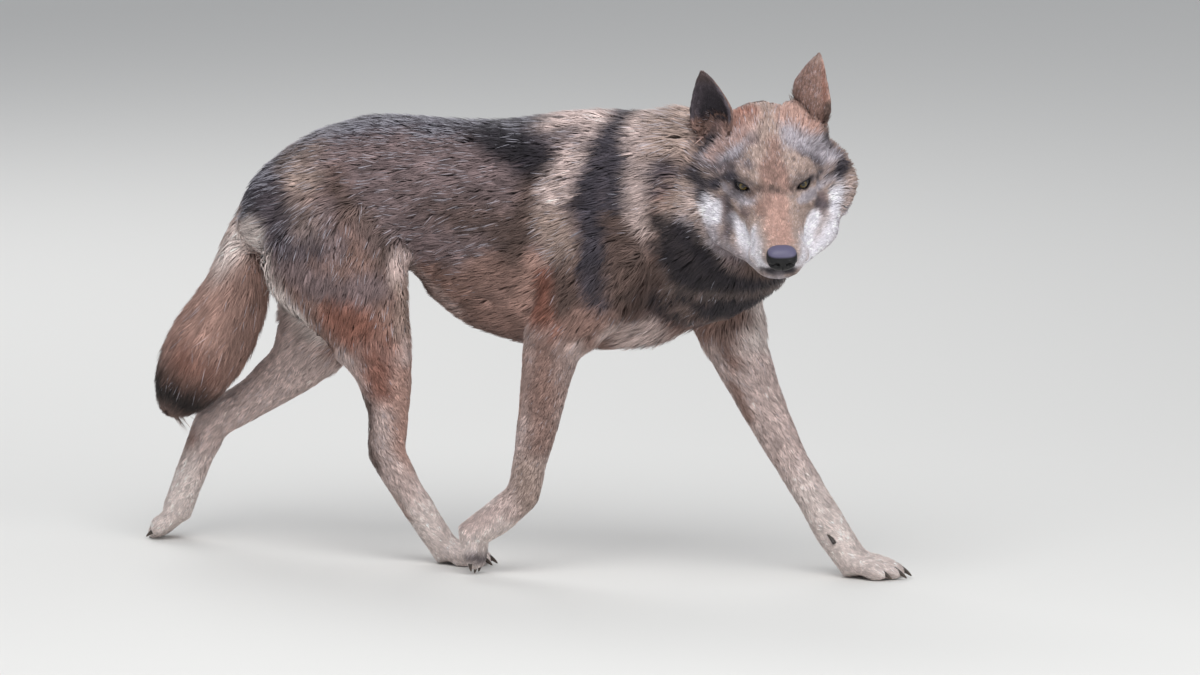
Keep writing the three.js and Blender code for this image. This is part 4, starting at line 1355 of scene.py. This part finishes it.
def scattered(piece, rng):
    # picks a place for every tuft and reads the skin's values there
    chosen = chosenFor(piece)
    corners = triangles[chosen]
    a, b, c = (places[corners[:, i]] for i in range(3))
    area = np.linalg.norm(np.cross(b - a, c - a), axis=1) / 2 / mm**2
    middle = {key: values[corners].mean(axis=1) for key, values in coat.items()}
    expected = area * middle["cover"] / (middle["length"] * middle["width"]) * ~isBare(corners)
    number = np.floor(expected + rng.random(len(chosen)) * (expected > 0)).astype(int)
    pick = np.repeat(np.arange(len(chosen)), number)
    u, w = np.sqrt(rng.random(len(pick))), rng.random(len(pick))
    weights = np.column_stack([1 - u, u * (1 - w), u * w])

    def blend(values):
        return np.einsum("tc,tc...->t...", weights, values[corners[pick]])

    found = {key: blend(values) for key, values in coat.items()}
    found.update(root=blend(places), normal=unit(blend(normals)), lie=unit(blend(combedLie)))
    found["uv"] = np.einsum("tc,tck->tk", weights, unwrapped(chosen)[pick])
    return found


def growCoat(piece, s, seed):
    rng = np.random.default_rng(seed)
    t = scattered(piece, rng)
    root, normal, lie = t["root"], t["normal"], t["lie"]
    count = len(root)
    length = t["length"] * rng.uniform(*s["size"], count)
    width = t["width"] * rng.uniform(*s["broad"], count)
    side = np.cross(normal, lie)
    leaders = rng.permutation(count)[: max(1, count // s["perLock"])]
    lock = leaders[nearestOf(treeOf(root[leaders]), root)]
    sway = rng.normal(0, s["sway"], count)
    lie = unit(lie + side * (sway[lock] * s["together"] + sway * (1 - s["together"]))[:, None])
    tipHeight = t["depth"] * (s["stand"] - s["lower"] * rng.random(count) ** 2)
    tipHeight = mix(tipHeight, tipHeight[lock], s["levelled"])
    stray = rng.normal(0, s["stray"], count) * length
    belly, bellyHeight = s["belly"]
    halfWay = root + lie * (length * belly)[:, None] * mm
    middlePlace, middleNormal, middleTone = onSkin(halfWay, tipHeight * bellyHeight)
    tip = root + (lie * length[:, None] + side * stray[:, None]) * mm
    tip, tipNormal, tipTone = onSkin(tip, tipHeight)
    gather = (root - root[lock]) * s["spacing"]
    drawn = t["lock"] * rng.uniform(*s["draw"], count)
    tip = mix(tip, tip[lock] + gather, drawn[:, None])
    return dict(
        piece=piece, root=root, middle=middlePlace, tip=tip, normal=normal, middleNormal=middleNormal,
        tipNormal=tipNormal, width=width, uv=t["uv"], lock=lock, rng=rng, tones=(middleTone, tipTone),
    )


# a tuft's points are its root, two edges, its back and its tip
tuftFaces = np.array([[0, 2, 1], [0, 1, 3], [0, 3, 2], [1, 2, 4], [1, 4, 3], [2, 3, 4]])


def buildCoat(t, s):
    count, rng = len(t["root"]), t["rng"]
    rootPlace = t["root"] - t["normal"] * s["sunk"] * mm
    along = unit(t["tip"] - rootPlace)
    side = unit(np.cross(t["middleNormal"], along))
    half = (t["width"] * 0.5 * mm)[:, None]
    points = np.empty((count, 5, 3))
    points[:, 0] = rootPlace
    points[:, 1] = t["middle"] - side * half
    points[:, 2] = t["middle"] + side * half
    points[:, 3] = t["middle"] + t["middleNormal"] * half * 2 * s["thickness"]
    points[:, 4] = t["tip"]
    points[:, :, 2] = np.maximum(points[:, :, 2], s["lowest"])
    faces = (np.arange(count)[:, None, None] * 5 + tuftFaces).reshape(-1, 3)
    thing = meshFrom(t["piece"], points.reshape(-1, 3), faces)
    softNormals(thing, t, side, s)
    colourPoints(thing, tuftColours(t, s, rng).reshape(-1, 3))
    placeTuftMaps(thing, t["uv"])
    thing.data.materials.append(keratinFur)
    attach(thing, "root")
    return count


def softNormals(thing, t, side, s):
    # fur scatters light like one soft surface, so tufts take most of their shading from the body
    flat = np.zeros(len(thing.data.vertices) * 3)
    thing.data.vertex_normals.foreach_get("vector", flat)
    own = flat.reshape(-1, 5, 3)
    body = np.empty_like(own)
    body[:, 0] = t["normal"]
    body[:, 1] = t["middleNormal"] - side * s["rounding"]
    body[:, 2] = t["middleNormal"] + side * s["rounding"]
    body[:, 3] = t["middleNormal"]
    body[:, 4] = t["tipNormal"]
    wanted = unit(mix(own, body, s["soft"])).reshape(-1, 3)
    layer = thing.data.attributes.new("custom_normal", "FLOAT_VECTOR", "POINT")
    layer.data.foreach_set("vector", wanted.astype(np.float32).ravel())


def tuftColours(t, s, rng):
    count = len(t["root"])
    middleTone, tipTone = t["tones"]
    shade = rng.normal(0, 1, count)
    byLock, byTuft = s["shadeSpread"]
    shade = np.exp(shade[t["lock"]] * byLock + shade * byTuft)[:, None]
    middle, tip = middleTone[:, :3] * shade, tipTone[:, :3] * shade
    flecked = (rng.random(count) < middleTone[:, 3])[:, None]
    out = np.empty((count, 5, 3))
    out[:, 0] = middle * s["rootShade"]
    out[:, 1:3] = middle[:, None]
    onBack, onTip = s["flecked"]
    out[:, 3] = mix(middle, linear(s["fleck"]), flecked * onBack)
    out[:, 4] = mix(tip * s["tipShade"], linear(s["fleck"]), flecked * onTip)
    return out


patchSize = 0.003  # of each tuft on the bake's map
patchShape = np.array([[0.5, 0], [0, 0.4], [1, 0.4], [0.5, 0.5], [0.5, 1]]) - 0.5


def placeTuftMaps(thing, uv):
    # each tuft is a small patch at its root's place on the unwrapped skin
    spots = uv[:, None] + patchShape * patchSize
    spots = np.clip(spots, 0, 1)[:, tuftFaces.ravel()].reshape(-1, 2)
    layer = thing.data.uv_layers.new(name="OFBake")
    layer.uv.foreach_set("vector", np.ascontiguousarray(spots, dtype=np.float32).ravel())


allTufts = 0
for order, piece in enumerate(coatPieces):
    grown = growCoat(piece, coatSettings, coatSettings["seed"] + order)
    number = buildCoat(grown, coatSettings)
    allTufts += number
    report(f"{piece}, {number} tufts")
report(f"coat, {allTufts} tufts")

# eyes: balls behind the lids, with a low cornea and an amber iris
eyeLook = {
    "gaze": (0.93, 0.07, 0.30),  # in the head frame, mirrored for the other side
    "iris": 7.2,  # radius, mm
    "cornea": 0.8,  # how far it stands out of the ball
    "corneaEdge": 0.72,  # the cosine of the angle from the gaze at which it begins
    "outerRing": 1.2,
    "streaks": 9.0,  # to a radian round the iris
    "rings": [  # share of the iris's radius, colour. The pupil ends before the third
        (0.00, "#050406"),
        (0.28, "#050406"),
        (0.34, "#241b0f"),
        (0.46, "#4c3f1f"),
        (0.72, "#5e4f27"),
        (0.88, "#33260f"),
        (1.00, "#0d0a09"),
        (1.20, "#1b1413"),
    ],
}


def sphere(rounds):
    body = bmesh.new()
    bmesh.ops.create_icosphere(body, subdivisions=rounds, radius=1.0)
    points = np.array([v.co for v in body.verts])
    faces = np.array([[v.index for v in f.verts] for f in body.faces])
    body.free()
    return points, faces


def eyeMaterial(s):
    # a wet eye: dark pupil and rim, streaked amber between them, one sharp highlight
    material = newMaterial("wet_eye")
    tree = material.node_tree
    place = addNode(tree, "ShaderNodeTexCoord")
    flat = addNode(
        tree,
        "ShaderNodeVectorMath",
        {"operation": "MULTIPLY"},
        {1: (1, 1, 0)},
        {0: place.outputs["Object"]},
    )
    out = addNode(tree, "ShaderNodeVectorMath", {"operation": "LENGTH"}, links={0: flat.outputs[0]})
    share = addNode(
        tree,
        "ShaderNodeMapRange",
        values={"From Max": s["iris"] * mm * s["outerRing"], "To Max": 1.0},
        links={"Value": out.outputs["Value"]},
    )
    ramp = addNode(tree, "ShaderNodeValToRGB", links={"Fac": share.outputs["Result"]})
    stops = ramp.color_ramp.elements
    while len(stops) < len(s["rings"]):
        stops.new(0.5)
    for stop, (at, colour) in zip(stops, s["rings"]):
        stop.position = at / s["outerRing"]
        stop.color = (*linear(colour), 1)
    around = addNode(tree, "ShaderNodeVectorMath", {"operation": "NORMALIZE"}, links={0: flat.outputs[0]})
    streaks = addNode(
        tree,
        "ShaderNodeTexNoise",
        values={"Scale": s["streaks"], "Detail": 3.0},
        links={"Vector": around.outputs[0]},
    )
    shade = addNode(
        tree,
        "ShaderNodeMapRange",
        values={"From Min": 0.3, "From Max": 0.7, "To Min": 0.7, "To Max": 1.25},
        links={"Value": streaks.outputs["Fac"]},
    )
    tinted = addNode(
        tree,
        "ShaderNodeVectorMath",
        {"operation": "SCALE"},
        links={0: ramp.outputs["Color"], "Scale": shade.outputs["Result"]},
    )
    shader = addNode(
        tree,
        "ShaderNodeBsdfPrincipled",
        values={
            "Roughness": 0.25,
            "IOR": 1.38,
            "Coat Weight": 1.0,
            "Coat Roughness": 0.03,
            "Coat IOR": 1.38,
        },
        links={"Base Color": tinted.outputs[0]},
    )
    return finishMaterial(material, shader)


def makeEyes(s):
    material = eyeMaterial(s)
    for side, node in ((1, "eye_left"), (-1, "eye_right")):
        points, faces = sphere(6)
        raised = eased(rise(points[:, 2], s["corneaEdge"], 1 - s["corneaEdge"]))
        points *= (eye["radius"] + s["cornea"] * raised)[:, None] * mm
        ball = meshFrom("wet_" + node, points, faces)
        ball.data.materials.append(material)
        gaze = np.array([s["gaze"][0], s["gaze"][1] * side, s["gaze"][2]])
        turn = Vector(unit(gaze) @ headAxes).to_track_quat("Z", "Y").to_matrix().to_4x4()
        turn.translation = Vector(fromHead(eyeFrame(side)[0]))
        ball.matrix_world = turn
        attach(ball, "root")
        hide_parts(node)


makeEyes(eyeLook)
report("eyes")

# nose: pebbled leather with comma-shaped nostrils and a groove between them
noseLook = {
    # the top's colour is a painted reflection of the bright sky
    "top": "#5b5770",
    "front": "#0b0a0c",
    # painted shade inside the nostrils
    "hollow": "#040304",
    "reflectionEdge": (0.34, 0.18),  # height over the middle where the top's colour begins, and its blend
    "square": (0.74, 0.72, 0.66),  # 1 is an ellipsoid, less is boxier
    "narrower": 0.34,  # share that it narrows by towards its foot
    "slope": (4.5, 2.0),  # mm that the upper front edge leans back, and drops
    "undercut": 3.0,
    "nostril": ((9.5, -49.0), (17.5, -50.5)),  # y and z of its round end, then of its slit's end
    "roundEnd": (4.6, 3.8, 6.0),  # half its width and height, and how deep, mm
    "slit": (1.9, 3.5),  # half its width, and how deep
    "wing": (2.4, 1.2),  # the raised rim over a nostril: half its width, and its height
    "groove": (1.2, 1.7),  # down the middle: half its width, and how deep
    "pebble": 1.3,  # mm across
}


def noseShape(s):
    q, faces = sphere(6)
    u, w = q[:, 0], q[:, 2]
    ahead, above, below = np.clip(u, 0, 1), np.clip(w, 0, 1), np.clip(-w, 0, 1)
    centre = np.array(nose["centre"])
    p = np.sign(q) * np.abs(q) ** np.array(s["square"]) * np.array(nose["half"])
    back, drop = s["slope"]
    p[:, 1] *= 1 - s["narrower"] * below**1.3
    p[:, 0] -= back * above * ahead
    p[:, 0] -= s["undercut"] * below**2 * ahead
    p[:, 2] -= drop * ahead * above
    inHead = p + centre
    front = np.clip(u * 3, 0, 1)
    flat = np.column_stack([np.abs(inHead[:, 1]), inHead[:, 2]])
    (y0, z0), (y1, z1) = s["nostril"]
    wide, high, deep = s["roundEnd"]
    roundEnd = deep * np.exp(-(((flat[:, 0] - y0) / wide) ** 2 + ((flat[:, 1] - z0) / high) ** 2) ** 1.5)
    wide, deep = s["slit"]
    slit = deep * hill(toLine(flat, [(y0, z0), (y1, z1), (y1 + 4, z1 - 2)]), wide)
    dent = np.maximum(roundEnd, slit) * front
    wide, high = s["wing"]
    wing = high * hill(toLine(flat, [(y0 - 4, z0 + 4), (y0, z0 + 6), (y1, z1 + 5)]), wide) * front
    wide, deep = s["groove"]
    groove = deep * hill(inHead[:, 1], wide) * np.clip(0.35 - w, 0, 1) * front
    p += q * (wing - groove - dent)[:, None]
    # a painted sky reflection on the top, and painted shade in the nostrils
    colour = mix(linear(s["front"]), linear(s["top"]), rise(w, *s["reflectionEdge"])[:, None])
    colour = mix(colour, linear(s["hollow"]), np.clip(dent / 4, 0, 1)[:, None])
    return fromHead(p + centre), faces, colour


def leatherMaterial(s):
    # nose leather: near black with a painted sky reflection greying its top, a little moist, broken up
    # into small pebbles
    material = newMaterial("nose_leather")
    tree = material.node_tree
    colour = addNode(tree, "ShaderNodeAttribute", {"attribute_name": "coatColour"})
    place = addNode(tree, "ShaderNodeTexCoord")
    pebbles = addNode(
        tree,
        "ShaderNodeTexVoronoi",
        values={"Scale": 1 / (s["pebble"] * mm)},
        links={"Vector": place.outputs["Object"]},
    )
    bump = addNode(
        tree,
        "ShaderNodeBump",
        {"invert": True},
        {"Strength": 0.6, "Distance": 0.25 * mm},
        {"Height": pebbles.outputs["Distance"]},
    )
    shader = addNode(
        tree,
        "ShaderNodeBsdfPrincipled",
        values={"Roughness": 0.48, "IOR": 1.4, "Coat Weight": 0.12, "Coat Roughness": 0.25},
        links={"Base Color": colour.outputs["Color"], "Normal": bump.outputs["Normal"]},
    )
    return finishMaterial(material, shader)


def makeNose(s):
    points, faces, colour = noseShape(s)
    thing = meshFrom("nose_leather", points, faces)
    colourPoints(thing, colour)
    thing.data.materials.append(leatherMaterial(s))
    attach(thing, "root")
    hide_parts("nose")


makeNose(noseLook)
report("nose")

# claws: curved, blunt with walking, set into the toes
clawLook = {
    "colour": "#2c2521",
    "tip": "#57493f",
    "rings": 12,
    "sides": 14,
    "sunk": 3.0,  # mm that its base lies in the toe
    "droop": 0.16,  # as a share of its length
    "highest": 1.7,  # as a multiple of its width
    "blunt": (1.6, 0.94),  # how late it tapers, and how much of the taper is a curve
    "lowest": 0.2 * mm,  # over the floor
    "grain": 1 / 900,  # metres, coarser than real horn's so that it shows
}


def hornMaterial(s):
    # claw horn: dark, with a dull polish and a fine uneven grain
    material = newMaterial("claw_horn")
    tree = material.node_tree
    colour = addNode(tree, "ShaderNodeAttribute", {"attribute_name": "coatColour"})
    place = addNode(tree, "ShaderNodeTexCoord")
    grain = addNode(
        tree,
        "ShaderNodeTexNoise",
        values={"Scale": 1 / s["grain"], "Detail": 2.0},
        links={"Vector": place.outputs["Object"]},
    )
    bump = addNode(
        tree,
        "ShaderNodeBump",
        values={"Strength": 0.3, "Distance": 0.1 * mm},
        links={"Height": grain.outputs["Fac"]},
    )
    shader = addNode(
        tree,
        "ShaderNodeBsdfPrincipled",
        values={"Roughness": 0.38, "IOR": 1.54},
        links={"Base Color": colour.outputs["Color"], "Normal": bump.outputs["Normal"]},
    )
    return finishMaterial(material, shader)


def clawShape(node, paw, s):
    # from the solid's own length, width and height, tapered to a curved point
    v = arraysOf(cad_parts[node].data)[0]
    middle = v.mean(axis=0)
    along = np.linalg.svd(v - middle, full_matrices=False)[2][0]
    along = along * np.sign(along @ (middle - paw))
    reach = (v - middle) @ along
    base = middle + along * (reach.min() - s["sunk"] * mm)
    length = reach.max() - reach.min() + s["sunk"] * mm
    across = unit(np.cross(along, [0, 0, 1.0]))
    up = np.cross(across, along)
    wide = np.ptp((v - middle) @ across) / 2
    high = min(np.ptp((v - middle) @ up) / 2, wide * s["highest"])
    t = np.linspace(0, 1, s["rings"])[:, None]
    late, share = s["blunt"]
    taper = np.sqrt(np.clip(1 - t**late, 0, 1)) * share + (1 - share) * (1 - t)
    bend = up * s["droop"] * length * (0.25 - t**2)
    line = base + along * length * t + bend
    angle = np.linspace(0, 2 * math.pi, s["sides"], endpoint=False)
    ring = across * np.cos(angle)[:, None] * wide + up * np.sin(angle)[:, None] * high
    points = (line[:, None] + ring[None] * taper[:, :, None]).reshape(-1, 3)
    points[:, 2] = np.maximum(points[:, 2], s["lowest"])
    i, j = np.meshgrid(np.arange(s["rings"] - 1), np.arange(s["sides"]), indexing="ij")
    k = (j + 1) % s["sides"]
    corner = [i * s["sides"] + j, i * s["sides"] + k, (i + 1) * s["sides"] + k, (i + 1) * s["sides"] + j]
    quads = np.stack([c.ravel() for c in corner], axis=1)
    faces = np.vstack([quads[:, [0, 1, 2]], quads[:, [0, 2, 3]]])
    colour = mix(linear(s["colour"]), linear(s["tip"]), np.repeat(t**2, s["sides"], axis=0))
    end = len(points)
    points = np.vstack([points, line[:1]])
    cap = [[end, (c + 1) % s["sides"], c] for c in range(s["sides"])]
    return points, np.vstack([faces, cap]), np.vstack([colour, linear(s["colour"])])


def makeClaws(s):
    material = hornMaterial(s)
    for foot in ("fore_right", "fore_left", "hind_right", "hind_left"):
        nodes = [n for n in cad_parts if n.startswith(foot) and "claw" in n]
        points, faces, colours, count = [], [], [], 0
        for node in nodes:
            v, f, c = clawShape(node, middleOf(foot + "_paw"), s)
            points.append(v)
            faces.append(f + count)
            colours.append(c)
            count += len(v)
        thing = meshFrom(foot + "_claws", np.vstack(points), np.vstack(faces))
        colourPoints(thing, np.vstack(colours))
        thing.data.materials.append(material)
        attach(thing, "root")
        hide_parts(*nodes)


makeClaws(clawLook)
report("claws")
